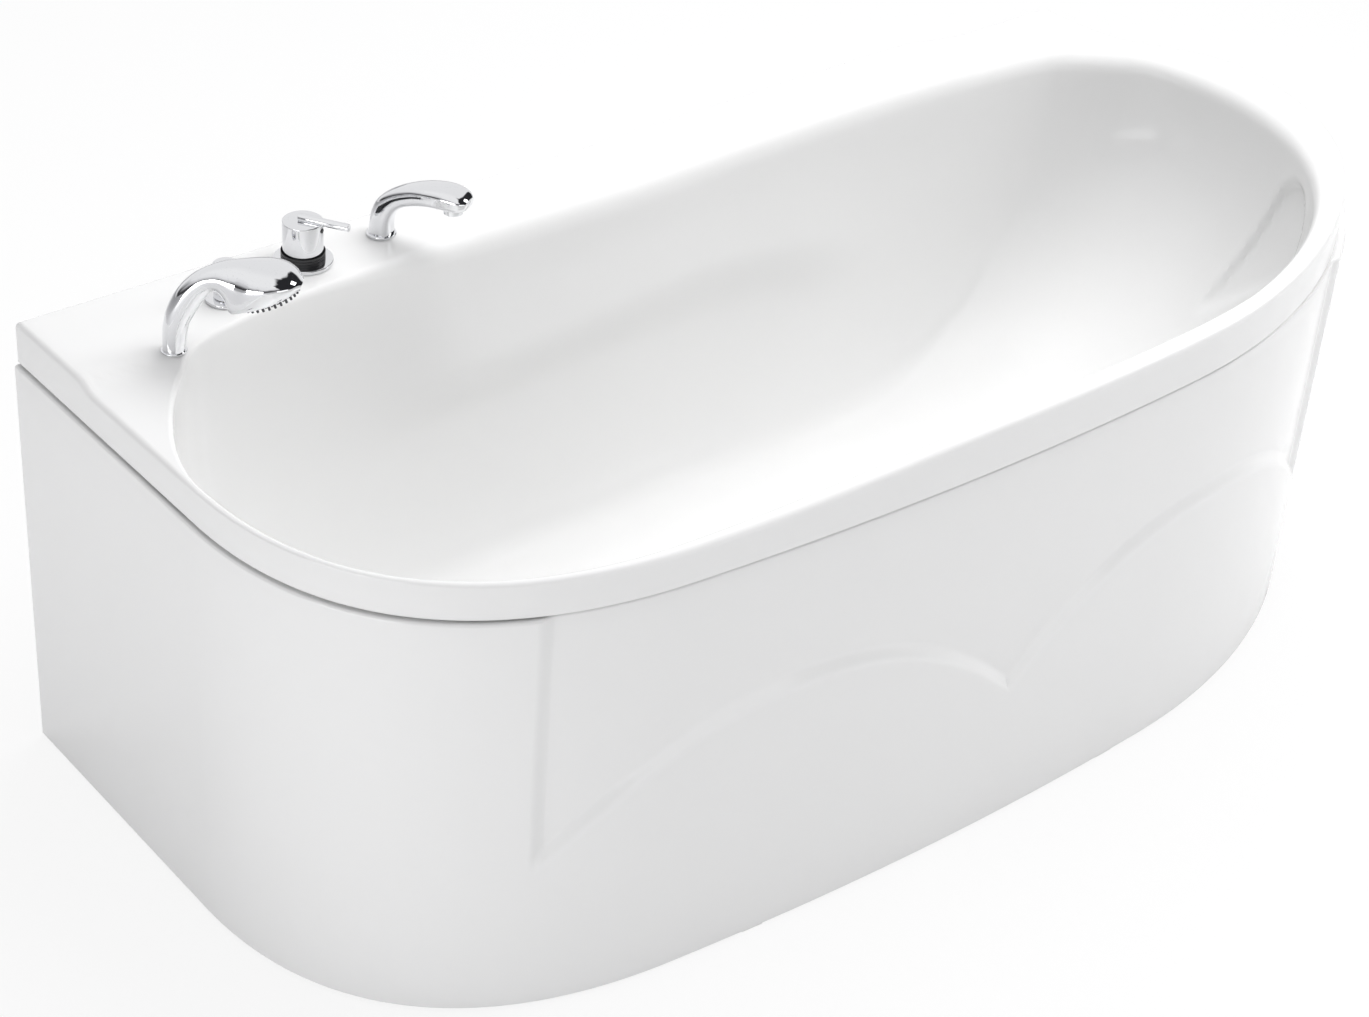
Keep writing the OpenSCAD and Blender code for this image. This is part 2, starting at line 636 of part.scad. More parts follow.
function face_rows(s) = concat([[0, panel_foot]],
    [[0, arch_z(s) - band_h / 2], [relief_at(s), arch_z(s) + band_h / 2]],
    [[relief_at(s), panel_top_z - panel_edge_r]]);
function panel_section(s) = let (f = face_rows(s), n = len(f), d = relief_at(s)) concat(f,
    [[d + panel_edge_r * arc_share, panel_top_z - panel_edge_r * arc_share]],
    [[d + panel_edge_r, panel_top_z]],
    [[flange_at(s), panel_top_z]],
    [[flange_at(s), panel_top_z - panel_t]],
    [[d + panel_t, panel_top_z - panel_t - over]],
    [for (i = [n - 2 : -1 : 0]) [f[i][0] + panel_t, f[i][1]]]);
corner_cols = 16;
crease_cols = 3;
arch_cols = 18;
tail_cols = 9;
panel_cols = concat(
    [for (i = [0 : corner_cols]) (corner_run - crease_w / 2) * i / corner_cols],
    [for (i = [1 : crease_cols - 1]) corner_run - crease_w / 2 + crease_w / 2 * i / crease_cols],
    [for (i = [0 : 2 * arch_cols]) corner_run + arch_run * i / arch_cols],
    [for (i = [1 : crease_cols]) relief_end + crease_w / 2 * i / crease_cols],
    [for (i = [1 : tail_cols]) mix(relief_end + crease_w / 2, panel_run, i / tail_cols)]);
module front_panel() {
    cols = [for (i = [len(panel_cols) - 1 : -1 : 0]) let (s = panel_cols[i])
        [for (p = panel_section(s)) rise3(face_at(s) + face_in(s) * p[0], p[1])]];
    color("white") loft(cols);
}

// Clips that stand on the panel's flange and catch behind the rim's skirt
clip_shares = [0.391, 0.5076, 0.623, 0.749, 0.848];
clip_l = 36;
clip_h = 28;
module at_face(s, in) {
    p = face_at(s) + face_in(s) * in;
    t = face_in(s);
    translate([p[0], p[1], 0]) rotate([0, 0, atan2(t[1], t[0])]) children();
}
module panel_clips() {
    color("silver") for (s = clip_shares * panel_run) at_face(s, clip_in(s))
        translate([0, -clip_l / 2, panel_top_z]) cube([clip_t, clip_l, clip_h]);
}

// Feet that stand on the floor and hold the panel's lower edge
panel_foot_shares = [0.083, 0.381, 0.58, 0.779, 0.928];
panel_foot_l = 30;
panel_foot_t = 14;
panel_foot_h = 30;
ledge_in = 1.5;
module panel_feet() {
    color("whitesmoke") for (s = panel_foot_shares) at_face(s * panel_run, 0) {
        translate([ledge_in, -panel_foot_l / 2, 0]) cube([panel_t + panel_foot_t, panel_foot_l, panel_foot]);
        translate([panel_t + 2 * clip_sag, -panel_foot_l / 2, 0])
            cube([panel_foot_t, panel_foot_l, panel_foot_h]);
    }
}

// Brackets screwed to the wall: the rim's skirt stands on their shelf, the tongue is behind it
bracket_screw_share = 0.4;
bracket_screw_z = bracket_h * bracket_screw_share;
module wall_brackets() {
    color("silver") for (x = bracket_shares * tub_l) translate([foot_x + x, wall_y, skirt_z]) difference() {
        union() {
            translate([-bracket_l / 2, -bracket_t, -bracket_h]) cube([bracket_l, bracket_t, bracket_h]);
            translate([-bracket_l / 2, -shell_t - seat - bracket_t, -bracket_t])
                cube([bracket_l, shell_t + seat + bracket_t, bracket_t]);
            translate([-bracket_l / 2, -shell_t - seat - bracket_t, -bracket_t])
                cube([bracket_l, bracket_t, bracket_tongue + bracket_t]);
        }
        for (side = [-1, 1]) translate([side * bracket_hole_pitch / 2, over, -bracket_h + bracket_screw_z])
            rotate([90, 0, 0]) cylinder(r = bracket_hole_r, h = bracket_t + 2 * over);
    }
}

// The bearer board, glued under the bowl's flat floor
board_z = floor_z - shell_t - board_t;
board_x = board_x_shares * tub_l;
board_y = board_y_shares * tub_w;
board_hole_r = waste_body_r + 4 * hole_clear;
board_slot_w = 2 * board_hole_r;
module bearer_board() {
    color("burlywood") difference() {
        translate([foot_x + board_x[0], wall_y - board_y[1], board_z])
            cube([board_x[1] - board_x[0], board_y[1] - board_y[0], board_t]);
        at(waste_xy, board_z - over) cylinder(r = board_hole_r, h = board_t + 2 * over);
        translate([foot_x + board_x[0] - over, waste_xy[1] - board_slot_w / 2, board_z - over])
            cube([waste_share * tub_l - board_x[0], board_slot_w, board_t + 2 * over]);
    }
}

// The frame of square tubes
rail_z = board_z - tube_w;
crossbar_z = rail_z - tube_w;
module tube_x(l) {
    difference() {
        translate([0, -tube_w / 2, 0]) cube([l, tube_w, tube_w]);
        translate([-over, tube_wall - tube_w / 2, tube_wall])
            cube([l + 2 * over, tube_w - 2 * tube_wall, tube_w - 2 * tube_wall]);
    }
}
module frame_rails() {
    color("slategray") for (y = rail_row_shares)
        translate([foot_x + rail_end_shares[0] * tub_l, wall_y - y * tub_w, rail_z])
            tube_x((rail_end_shares[1] - rail_end_shares[0]) * tub_l);
}
foot_places = [for (i = [0 : len(crossbar_shares) - 1]) for (y = [foot_near_share, foot_far_shares[i]])
    plan([crossbar_shares[i], y])];
module frame_crossbars() {
    color("slategray") difference() {
        for (x = crossbar_shares) at(plan([x, crossbar_end_shares[0]]), crossbar_z)
            rotate([0, 0, -90]) tube_x((crossbar_end_shares[1] - crossbar_end_shares[0]) * tub_w);
        for (p = foot_places) at(p, crossbar_z - over)
            cylinder(r = stud_r + hole_clear, h = tube_wall + 2 * over);
    }
}
post_places = [plan([crossbar_shares[0], post_share]), plan([crossbar_shares[2], post_share])];
post_deck_z = [deck_under_z, deck_under_z - corner_fall];
post_z = crossbar_z + tube_w;
post_pad_w = 40;
post_pad_h = 4;
module deck_posts() {
    color("slategray") for (i = [0, 1]) at(post_places[i], post_z)
        bar([post_w, post_w, post_deck_z[i] - post_pad_h - post_z]);
}
module post_pads() {
    color("dimgray") for (i = [0, 1]) at(post_places[i], post_deck_z[i] - post_pad_h)
        bar([post_pad_w, post_pad_w, post_pad_h]);
}
stud_floor = 5;
stud_top_z = crossbar_z + tube_w - tube_wall - nut_h / 2;
module foot_studs() {
    color("silver") for (p = foot_places) at(p, stud_floor) cylinder(r = stud_r, h = stud_top_z - stud_floor);
}
module hex_nut(w, bore, h) {
    difference() {
        cylinder(r = w / sqrt(3), h = h, $fn = 6);
        translate([0, 0, -over]) cylinder(r = bore, h = h + 2 * over);
    }
}
module foot_nuts() {
    color("silver") for (p = foot_places) {
        at(p, crossbar_z - nut_h) hex_nut(nut_w, stud_r + seat, nut_h);
        at(p, crossbar_z + tube_wall) hex_nut(nut_w, stud_r + seat, nut_h);
    }
}
module foot_pads() {
    color("dimgray") for (p = foot_places) at(p, 0) difference() {
        union() {
            cylinder(r = foot_r, h = foot_h / 2);
            translate([0, 0, foot_h / 2]) cylinder(r1 = foot_r, r2 = 2 * stud_r, h = foot_h / 2);
        }
        translate([0, 0, stud_floor]) cylinder(r = stud_r + seat, h = foot_h);
    }
}

// The pop-up waste
waste_top_z = floor_z + flange_t;
recess_d = 1.2;
plug_t = 4;
stem_short = 4;
stem_end_z = floor_z - tail_h + stem_short;
guide_arm = 3;
guide_h = 8;
guide_r = stem_r + guide_arm;
guide_z = floor_z - tail_h / 2;
module waste_flange() {
    color("silver") difference() {
        union() {
            at(waste_xy, floor_z) cylinder(r = flange_r, h = flange_t);
            at(waste_xy, floor_z - tail_h) ring(tail_r, tail_bore_r, tail_h + over);
            at(waste_xy, guide_z) cylinder(r = guide_r, h = guide_h);
            for (a = [0, 120, 240]) at(waste_xy, guide_z) rotate([0, 0, a])
                translate([0, -guide_arm / 2, 0]) cube([tail_bore_r + over, guide_arm, guide_h]);
        }
        at(waste_xy, waste_top_z - recess_d) cylinder(r = plug_r + 2 * seat, h = recess_d + over);
        at(waste_xy, floor_z - over) cylinder(r = tail_bore_r, h = flange_t);
        at(waste_xy, guide_z - over) cylinder(r = stem_r + run_clear, h = guide_h + 2 * over);
    }
}
crown_r = (plug_r * plug_r + plug_crown * plug_crown) / (2 * plug_crown);
plug_z = waste_top_z - recess_d + seat;
module waste_plug() {
    color("silver") {
        at(waste_xy, plug_z) cylinder(r = plug_r, h = plug_t);
        at(waste_xy, plug_z + plug_t - over) intersection() {
            cylinder(r = plug_r, h = plug_crown + over);
            translate([0, 0, plug_crown + over - crown_r]) sphere(r = crown_r);
        }
        at(waste_xy, stem_end_z) cylinder(r = stem_r, h = plug_z - stem_end_z + over);
    }
}
shell_under_z = floor_z - shell_t;
body_top_z = shell_under_z - washer_t;
body_foot_z = body_top_z - waste_body_h;
module waste_gasket() {
    color("dimgray") at(waste_xy, body_top_z) ring(waste_body_r, tail_r + seat, washer_t);
}
over_port_r = over_pipe_r + seat;
pipe_lap = 4;
function at_over(x) = overflow_xy + x * [cos(overflow_angle), sin(overflow_angle)];
over_start = at_over(-over_back - washer_t - over_body_t / 2);
over_vec = waste_xy - over_start;
over_angle = atan2(over_vec[1], over_vec[0]);
over_reach = norm(over_vec);
module waste_body() {
    color("dimgray") difference() {
        at(waste_xy, body_foot_z) cylinder(r = waste_body_r, h = waste_body_h);
        at(waste_xy, floor_z - tail_h - seat) cylinder(r = tail_r + seat, h = waste_body_h);
        at(waste_xy, body_foot_z - over) cylinder(r = tail_bore_r, h = waste_body_h);
        at(waste_xy, over_run_z) rotate([0, 0, over_angle]) rotate([0, -90, 0])
            cylinder(r = over_port_r, h = 2 * waste_body_r);
    }
}
trap_neck_h = 8;
trap_top_z = body_foot_z - trap_neck_h;
trap_wall = 3;
nut_lap = 12;
module trap_nut() {
    color("dimgray") at(waste_xy, trap_top_z) ring(waste_body_r + pipe_wall + seat, waste_body_r + seat,
        trap_neck_h + nut_lap);
}
dip_rise = 26;
dip_end_z = trap_z + dip_rise;
module trap() {
    color("dimgray") difference() {
        union() {
            at(waste_xy, trap_top_z) cylinder(r = waste_body_r, h = trap_neck_h);
            at(waste_xy, trap_z) cylinder(r = trap_r, h = trap_top_z - trap_z);
        }
        at(waste_xy, trap_z + trap_wall) difference() {
            cylinder(r = trap_r - trap_wall, h = trap_top_z - trap_z - 2 * trap_wall);
            translate([0, 0, dip_end_z - trap_z]) cylinder(r = tail_bore_r + pipe_wall, h = trap_top_z);
        }
        at(waste_xy, dip_end_z - trap_wall) cylinder(r = tail_bore_r, h = trap_top_z);
        at_outlet(trap_r - 2 * trap_wall) cylinder(r = outlet_r + outlet_step + seat, h = trap_r);
    }
}
outlet_step = 2;
module at_outlet(run) {
    translate([waste_xy[0], waste_xy[1], outlet_z]) rotate([0, 0, -outlet_turn]) rotate([-90, 0, 0])
        translate([0, 0, run]) children();
}
outlet_start = trap_r - 1.5 * trap_wall;
module trap_outlet() {
    color("dimgray") difference() {
        union() {
            at_outlet(outlet_start)
                cylinder(r = outlet_r + outlet_step, h = outlet_run - outlet_end_l - outlet_start);
            at_outlet(outlet_start) cylinder(r = outlet_r, h = outlet_run - outlet_start);
        }
        at_outlet(outlet_start - over) cylinder(r = outlet_r - pipe_wall, h = outlet_run);
    }
}

// The overflow on the foot end's wall and its pipe down to the waste
over_spigot_r = 6;
over_vent_r = 4;
over_vent_at = 12;
module overflow_ring() {
    color("silver") at_overflow(over_pad) difference() {
        cylinder(r = overflow_r, h = overflow_ring_t);
        translate([0, 0, -over]) cylinder(r = over_spigot_r + run_clear, h = overflow_ring_t + 2 * over);
        for (a = [0 : 60 : 300]) rotate([0, 0, a]) translate([over_vent_at, 0, -over])
            cylinder(r = over_vent_r, h = overflow_ring_t + 2 * over);
    }
}
grip_count = 12;
grip_r = 3;
module overflow_knob() {
    color("silver") {
        at_overflow(over_pad + overflow_ring_t + seat) difference() {
            cylinder(r = knob_r, h = knob_t);
            for (i = [0 : grip_count - 1]) rotate([0, 0, 360 * i / grip_count])
                translate([knob_r + grip_r / 2, 0, -over]) cylinder(r = grip_r, h = knob_t + 2 * over);
        }
        at_overflow(0) cylinder(r = over_spigot_r, h = over_pad + overflow_ring_t + seat + over);
    }
}
over_lip = 3;
over_body_r = overflow_r - over_lip;
module overflow_gasket() {
    color("dimgray") at_overflow(-over_back - washer_t) ring(over_body_r, overflow_bore_r, washer_t);
}
module overflow_body() {
    color("dimgray") difference() {
        at_overflow(-over_back - washer_t - over_body_t) cylinder(r = over_body_r, h = over_body_t);
        at_overflow(-over_back - washer_t - over_body_t + pipe_wall)
            cylinder(r = overflow_bore_r, h = over_body_t);
        at(over_start, overflow_z - 2 * over_body_r) cylinder(r = over_port_r, h = 2 * over_body_r);
    }
}
over_pipe_top_z = overflow_z - over_body_r + over_lip;
over_pipe_foot_z = over_run_z + over_bend_r;
elbow_wall = 3;
elbow_bore_r = over_pipe_r - pipe_wall;
elbow_r = elbow_bore_r + elbow_wall;
collar_r = over_pipe_r + elbow_wall;
collar_l = 16;
module at_elbow() {
    translate([over_start[0], over_start[1], over_run_z]) rotate([0, 0, over_angle]) children();
}
module elbow_path(bend_r, end_r, beyond) {
    translate([over_bend_r, 0, over_bend_r]) rotate([90, 0, 0]) rotate([0, 0, 180])
        rotate_extrude(angle = 90) translate([over_bend_r, 0]) circle(r = bend_r);
    translate([0, 0, over_bend_r]) cylinder(r = end_r, h = collar_l + beyond);
    translate([over_bend_r, 0, 0]) rotate([0, 90, 0]) cylinder(r = end_r, h = collar_l + beyond);
}
module overflow_pipe() {
    color("dimgray") {
        at_elbow() difference() {
            elbow_path(elbow_r, collar_r, 0);
            elbow_path(elbow_bore_r, over_pipe_r + seat, over);
        }
        at(over_start, over_pipe_foot_z) ring(over_pipe_r, over_pipe_r - pipe_wall / 2,
            over_pipe_top_z - over_pipe_foot_z);
        at_elbow() translate([over_bend_r, 0, 0]) rotate([0, 90, 0]) ring(over_pipe_r,
            over_pipe_r - pipe_wall / 2, over_reach - waste_body_r + pipe_lap - over_bend_r);
    }
}

// The lever mixer. Its cap turns on the neck and tilts about a cross pin
module turned(xy, z, a) {
    translate([xy[0], xy[1], z]) rotate([0, 0, a]) children();
}
disc_edge = 1.2;
module soft_disc(r, bore, h) {
    rotate_extrude() polygon([[bore, 0], [r, 0], [r, h - disc_edge],
        [r - disc_edge * arc_share, h - disc_edge * arc_share], [r - disc_edge, h], [bore, h]]);
}
mixer_top_z = deck_z + mixer_disc_h;
cap_z = mixer_top_z + cap_gap;
cap_top_z = cap_z + cap_h;
pivot_z = cap_z + tilt_h;
module mixer_disc() {
    color("silver") at(mixer_xy, deck_z) soft_disc(mixer_disc_r, shank_r + seat, mixer_disc_h);
}
neck_r = 8;
ring_lap = 2;
ring_h = cap_gap + ring_lap;
dish_clear = 0.5;
dish_r = sqrt(cap_r * cap_r + tilt_h * tilt_h) + dish_clear;
module mixer_ring() {
    color("black") difference() {
        at(mixer_xy, mixer_top_z) cylinder(r = ring_r, h = ring_h);
        at(mixer_xy, mixer_top_z - over) cylinder(r = neck_r + 2 * seat, h = ring_h + 2 * over);
        at(mixer_xy, pivot_z) sphere(r = dish_r);
    }
}
neck_gap = 1;
yoke_r = 10;
yoke_flat = 1;
yoke_h = 2 * (yoke_r - yoke_flat);
yoke_z = pivot_z - yoke_h / 2;
spigot_r = 5;
spigot_h = 7;
inlet_off = 12;
inlet_bore_r = 7;
valve_z = deck_under_z - shank_l - valve_h;
module mixer_body() {
    color("gray") {
        at(mixer_xy, deck_under_z - shank_l) cylinder(r = shank_r, h = mixer_top_z - deck_under_z + shank_l);
        at(mixer_xy, mixer_top_z - over) cylinder(r = neck_r, h = yoke_z - neck_gap - mixer_top_z + over);
        at(mixer_xy, yoke_z - neck_gap - over) cylinder(r = spigot_r, h = neck_gap + spigot_h + over);
        difference() {
            at(mixer_xy, valve_z) cylinder(r = valve_r, h = valve_h);
            for (side = [-1, 1])
                translate([mixer_xy[0] + side * inlet_off, mixer_xy[1], valve_z - over])
                cylinder(r = inlet_r - pipe_wall, h = valve_h / 2);
        }
    }
}
module inlet_tails() {
    color("silver") for (side = [-1, 1])
        translate([mixer_xy[0] + side * inlet_off, mixer_xy[1], valve_z - inlet_l])
            ring(inlet_r, inlet_bore_r, inlet_l);
}
cap_edge = 1.5;
cross_half = cap_r - cap_edge;
module mixer_yoke() {
    color("silver") difference() {
        turned(mixer_xy, pivot_z, lever_angle) {
            translate([0, 0, -yoke_h / 2]) cylinder(r = yoke_r, h = yoke_h);
            rotate([90, 0, 0]) translate([0, 0, -cross_half]) cylinder(r = cross_r, h = 2 * cross_half);
        }
        at(mixer_xy, yoke_z - over) cylinder(r = spigot_r + run_clear, h = spigot_h + over + seat);
    }
}
pin_z = cap_top_z + pin_r - pin_sunk;
dot_drop = 9;
dot_in = 3;
dot_out = 1.2;
module mixer_cap() {
    color("silver") difference() {
        at(mixer_xy, cap_z) rotate_extrude() polygon([[0, 0], [cap_r, 0], [cap_r, cap_h - cap_edge],
            [cap_r - cap_edge * arc_share, cap_h - cap_edge * arc_share],
            [cap_r - cap_edge, cap_h], [0, cap_h]]);
        at(mixer_xy, cap_z - over) cylinder(r = cap_r - cap_wall, h = cap_h - cap_wall + over);
        turned(mixer_xy, pivot_z, lever_angle) rotate([90, 0, 0]) translate([0, 0, -cross_half - seat])
            cylinder(r = cross_r + run_clear, h = 2 * (cross_half + seat));
        turned(mixer_xy, pin_z, lever_angle) translate([-pin_back - 2 * seat, 0, 0]) rotate([0, 90, 0])
            cylinder(r = pin_r, h = pin_l);
        turned(mixer_xy, cap_top_z - dot_drop, lever_angle) translate([cap_r - dot_in, 0, 0])
            rotate([0, 90, 0]) cylinder(r = plug_dot_r, h = dot_in + over);
    }
}
module lever_pin() {
    color("silver") turned(mixer_xy, pin_z, lever_angle) translate([-pin_back, 0, 0]) rotate([0, 90, 0])
        soft_disc(pin_r, 0, pin_l);
}
module lever_plug() {
    color("black") turned(mixer_xy, cap_top_z - dot_drop, lever_angle) translate([cap_r - dot_in, 0, 0])
        rotate([0, 90, 0]) cylinder(r = plug_dot_r, h = dot_in + dot_out);
}

// The diverter
diverter_top_z = deck_z + diverter_disc_h;
spindle_r = 5;
spindle_h = 30;
divert_block_l = 40;
module diverter_disc() {
    color("silver") at(diverter_xy, deck_z)
        soft_disc(diverter_disc_r, diverter_shank_r + seat, diverter_disc_h);
}
mark_drop = 8;
mark_r = 2;
mark_angle = -110;
module diverter_knob() {
    color("silver") difference() {
        at(diverter_xy, diverter_top_z + seat) soft_disc(diverter_knob_r, 0, diverter_knob_h);
        at(diverter_xy, diverter_top_z) cylinder(r = spindle_r + run_clear, h = spindle_h + 2 * seat);
        turned(diverter_xy, diverter_top_z + diverter_knob_h - mark_drop, mark_angle)
            translate([diverter_knob_r - dot_in, 0, 0]) rotate([0, 90, 0])
                cylinder(r = mark_r, h = dot_in + over);
    }
}
module diverter_mark() {
    color("black") turned(diverter_xy, diverter_top_z + diverter_knob_h - mark_drop, mark_angle)
        translate([diverter_knob_r - dot_in, 0, 0]) rotate([0, 90, 0])
            cylinder(r = mark_r, h = dot_in + dot_out / 2);
}
module diverter_body() {
    color("gray") {
        at(diverter_xy, deck_under_z - divert_block_l) cylinder(r = diverter_shank_r,
            h = diverter_top_z - deck_under_z + divert_block_l);
        at(diverter_xy, diverter_top_z - over) cylinder(r = spindle_r, h = spindle_h + over);
    }
}

// A body swept through stations. Each station gives a point of the upper line and of the lower line,
// as shares of the reach and the height, a half width share and how flat the lower side is.
sweep_n = 24;
sweep_split = 2;
function station_at(t, i) = let (last = len(t) - 1)
    [t[max(0, i - 1)], t[i], t[min(last, i + 1)], t[min(last, i + 2)]];
function spline(q, u) = 0.5 * (2 * q[1] + (q[2] - q[0]) * u + (2 * q[0] - 5 * q[1] + 4 * q[2] - q[3]) * u * u
    + (3 * q[1] - q[0] - 3 * q[2] + q[3]) * u * u * u);
function signed_pow(v, p) = sign(v) * pow(abs(v), p);
function sweep_ring(s, reach, h, w, power) = let (
    top = [s[0] * reach, s[1] * h], low = [s[2] * reach, s[3] * h],
    mid = (top + low) / 2, half = (top - low) / 2)
    [for (i = [0 : sweep_n - 1]) let (a = 360 * i / sweep_n,
        c = signed_pow(cos(a), 2 / power), e = signed_pow(sin(a), 2 / power),
        v = e < 0 ? max(-1, e * s[5]) : e)
        [mid[0] + half[0] * v, s[4] * w * c, mid[1] + half[1] * v]];
module sweep(table, reach, h, w, power) {
    loft(concat([for (i = [0 : len(table) - 2]) for (j = [0 : sweep_split - 1])
        sweep_ring(spline(station_at(table, i), j / sweep_split), reach, h, w, power)],
        [sweep_ring(table[len(table) - 1], reach, h, w, power)]));
}

// The spout
spout_station_shares = [[-0.124, 0, 0.124, 0, 0.75, 1], [-0.107, 0.24, 0.124, 0.2, 0.72, 1],
    [-0.058, 0.48, 0.157, 0.39, 0.7, 1], [0.05, 0.71, 0.223, 0.54, 0.72, 1],
    [0.198, 0.87, 0.33, 0.64, 0.8, 1], [0.397, 0.97, 0.479, 0.71, 0.9, 1],
    [0.62, 1, 0.628, 0.745, 0.97, 1], [0.81, 0.99, 0.793, 0.735, 1, 1],
    [0.95, 0.955, 0.934, 0.735, 0.9, 1], [1, 0.92, 0.99, 0.76, 0.6, 1]];
spout_power = 3;
spout_top_z = deck_z + spout_disc_h;
module spout_disc() {
    color("silver") at(spout_xy, deck_z) soft_disc(spout_disc_r, spout_shank_r + seat, spout_disc_h);
}
aerator_share = 0.815;
aerator_top_share = 0.85;
module at_aerator() {
    turned(spout_xy, spout_top_z + aerator_top_share * spout_h - aerator_h - 4 * seat, spout_angle)
        translate([aerator_share * spout_reach, 0, 0]) children();
}
module spout_body() {
    color("silver") difference() {
        turned(spout_xy, spout_top_z, spout_angle)
            sweep(spout_station_shares, spout_reach, spout_h, spout_half_w, spout_power);
        at_aerator() cylinder(r = aerator_r + seat, h = aerator_h);
    }
}
aerator_bore_r = 9;
module spout_aerator() {
    color("silver") at_aerator() difference() {
        cylinder(r = aerator_r, h = aerator_h);
        translate([0, 0, -over]) cylinder(r = aerator_bore_r, h = aerator_h / 2);
    }
}
spout_shank_l = 45;
spout_bore_r = 7;
module spout_shank() {
    color("gray") at(spout_xy, deck_under_z - spout_shank_l) ring(spout_shank_r, spout_bore_r,
        spout_top_z - deck_under_z + spout_shank_l);
}

// The docked hand shower
handset_station_shares = [[-0.087, 0, 0.087, 0, 0.4, 1], [-0.072, 0.268, 0.092, 0.268, 0.385, 1],
    [-0.028, 0.473, 0.141, 0.446, 0.385, 1], [0.059, 0.688, 0.189, 0.571, 0.364, 1],
    [0.141, 0.813, 0.239, 0.673, 0.364, 1], [0.224, 0.902, 0.289, 0.705, 0.394, 1],
    [0.322, 0.946, 0.349, 0.688, 0.485, 1.2], [0.421, 0.973, 0.401, 0.607, 0.667, 1.6],
    [0.533, 1, 0.461, 0.464, 0.848, 2.2], [0.658, 1.009, 0.579, 0.54, 0.97, 2.2],
    [0.776, 1.004, 0.697, 0.622, 1, 2.2], [0.875, 0.973, 0.803, 0.696, 0.879, 2.2],
    [0.941, 0.911, 0.895, 0.759, 0.606, 2], [0.98, 0.848, 0.96, 0.804, 0.242, 1.5]];
handset_power = 2.2;
dock_z = deck_z + dock_h;
face_tilt = 27;
face_mid_shares = [0.691, 0.616];
spray_shares = [0.25, 0.82];
pocket_d = 1.5;
oval_n = 48;
module oval(a, b) {
    polygon([for (i = [0 : oval_n - 1]) [a * cos(360 * i / oval_n), b * sin(360 * i / oval_n)]]);
}
module at_spray() {
    turned(handset_xy, dock_z, handset_angle)
        translate([face_mid_shares[0] * handset_reach, 0, face_mid_shares[1] * handset_h])
        rotate([0, -face_tilt, 0]) children();
}
spray_a = spray_shares[0] * handset_reach;
spray_b = spray_shares[1] * handset_half_w;
module handset_shell() {
    color("silver") difference() {
        turned(handset_xy, dock_z, handset_angle)
            sweep(handset_station_shares, handset_reach, handset_h, handset_half_w, handset_power);
        at_spray() translate([0, 0, -spray_t]) linear_extrude(height = spray_t + pocket_d)
            oval(spray_a + seat, spray_b + seat);
    }
}
module spray_plate() {
    color("dimgray") at_spray() translate([0, 0, pocket_d - spray_t]) linear_extrude(height = spray_t)
        oval(spray_a, spray_b);
}
nozzle_pitch = 6.8;
nozzle_edge_share = 0.92;
nozzle_rows = 4;
nozzle_cols = 5;
function nozzle_at(i, j) = [(i + (j % 2 == 0 ? 0 : 0.5)) * nozzle_pitch, j * nozzle_pitch * sqrt(3) / 2];
function in_oval(p) = norm([p[0] / spray_a, p[1] / spray_b]) < nozzle_edge_share;
module spray_nozzles() {
    color("dimgray") at_spray() translate([0, 0, pocket_d - spray_t - nozzle_h])
        for (j = [-nozzle_rows : nozzle_rows]) for (i = [-nozzle_cols - 1 : nozzle_cols])
            if (in_oval(nozzle_at(i, j))) translate(nozzle_at(i, j)) cylinder(r = nozzle_r, h = nozzle_h);
}
hose_nut_l = 24;
module hose_nut() {
    color("silver") at(handset_xy, dock_z - hose_nut_l) ring(hose_nut_r, hose_nut_r / 2, hose_nut_l);
}
dock_bore_r = hose_nut_r + 2 * seat;
module dock_ring() {
    color("silver") at(handset_xy, deck_z) ring(dock_r, dock_bore_r, dock_h);
}
module dock_socket() {
    color("dimgray") at(handset_xy, deck_z - socket_l) ring(socket_r, dock_bore_r, socket_l);
}

// Washers and nuts that hold the fittings under the deck
deck_nut_h = 9;
module deck_washers() {
    color("dimgray") for (i = [0 : len(deck_holes) - 1])
        at(deck_holes[i][0], deck_under_z - washer_t)
            ring(deck_holes[i][1] * nut_shares[i], deck_holes[i][1] + seat, washer_t);
}
module deck_nuts() {
    color("silver") for (i = [0 : len(deck_holes) - 1])
        at(deck_holes[i][0], deck_under_z - washer_t - deck_nut_h)
            ring(deck_holes[i][1] * nut_shares[i], deck_holes[i][1] + seat, deck_nut_h);
}

bath_shell();
front_panel();
panel_clips();
panel_feet();
wall_brackets();
bearer_board();
frame_rails();
frame_crossbars();
deck_posts();
post_pads();
foot_studs();
foot_nuts();
foot_pads();
waste_flange();
waste_plug();
waste_gasket();
waste_body();
trap_nut();
trap();
trap_outlet();
overflow_ring();
overflow_knob();
overflow_gasket();
overflow_body();
overflow_pipe();
mixer_disc();
mixer_ring();
mixer_body();
mixer_yoke();
mixer_cap();
lever_pin();
lever_plug();
inlet_tails();
diverter_disc();
diverter_knob();
diverter_mark();
diverter_body();
spout_disc();
spout_body();
spout_aerator();
spout_shank();
dock_ring();
dock_socket();
handset_shell();
spray_plate();
spray_nozzles();
hose_nut();
deck_washers();
deck_nuts();
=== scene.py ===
import json
import math
import bpy
import numpy as np
from mathutils import Matrix, Vector


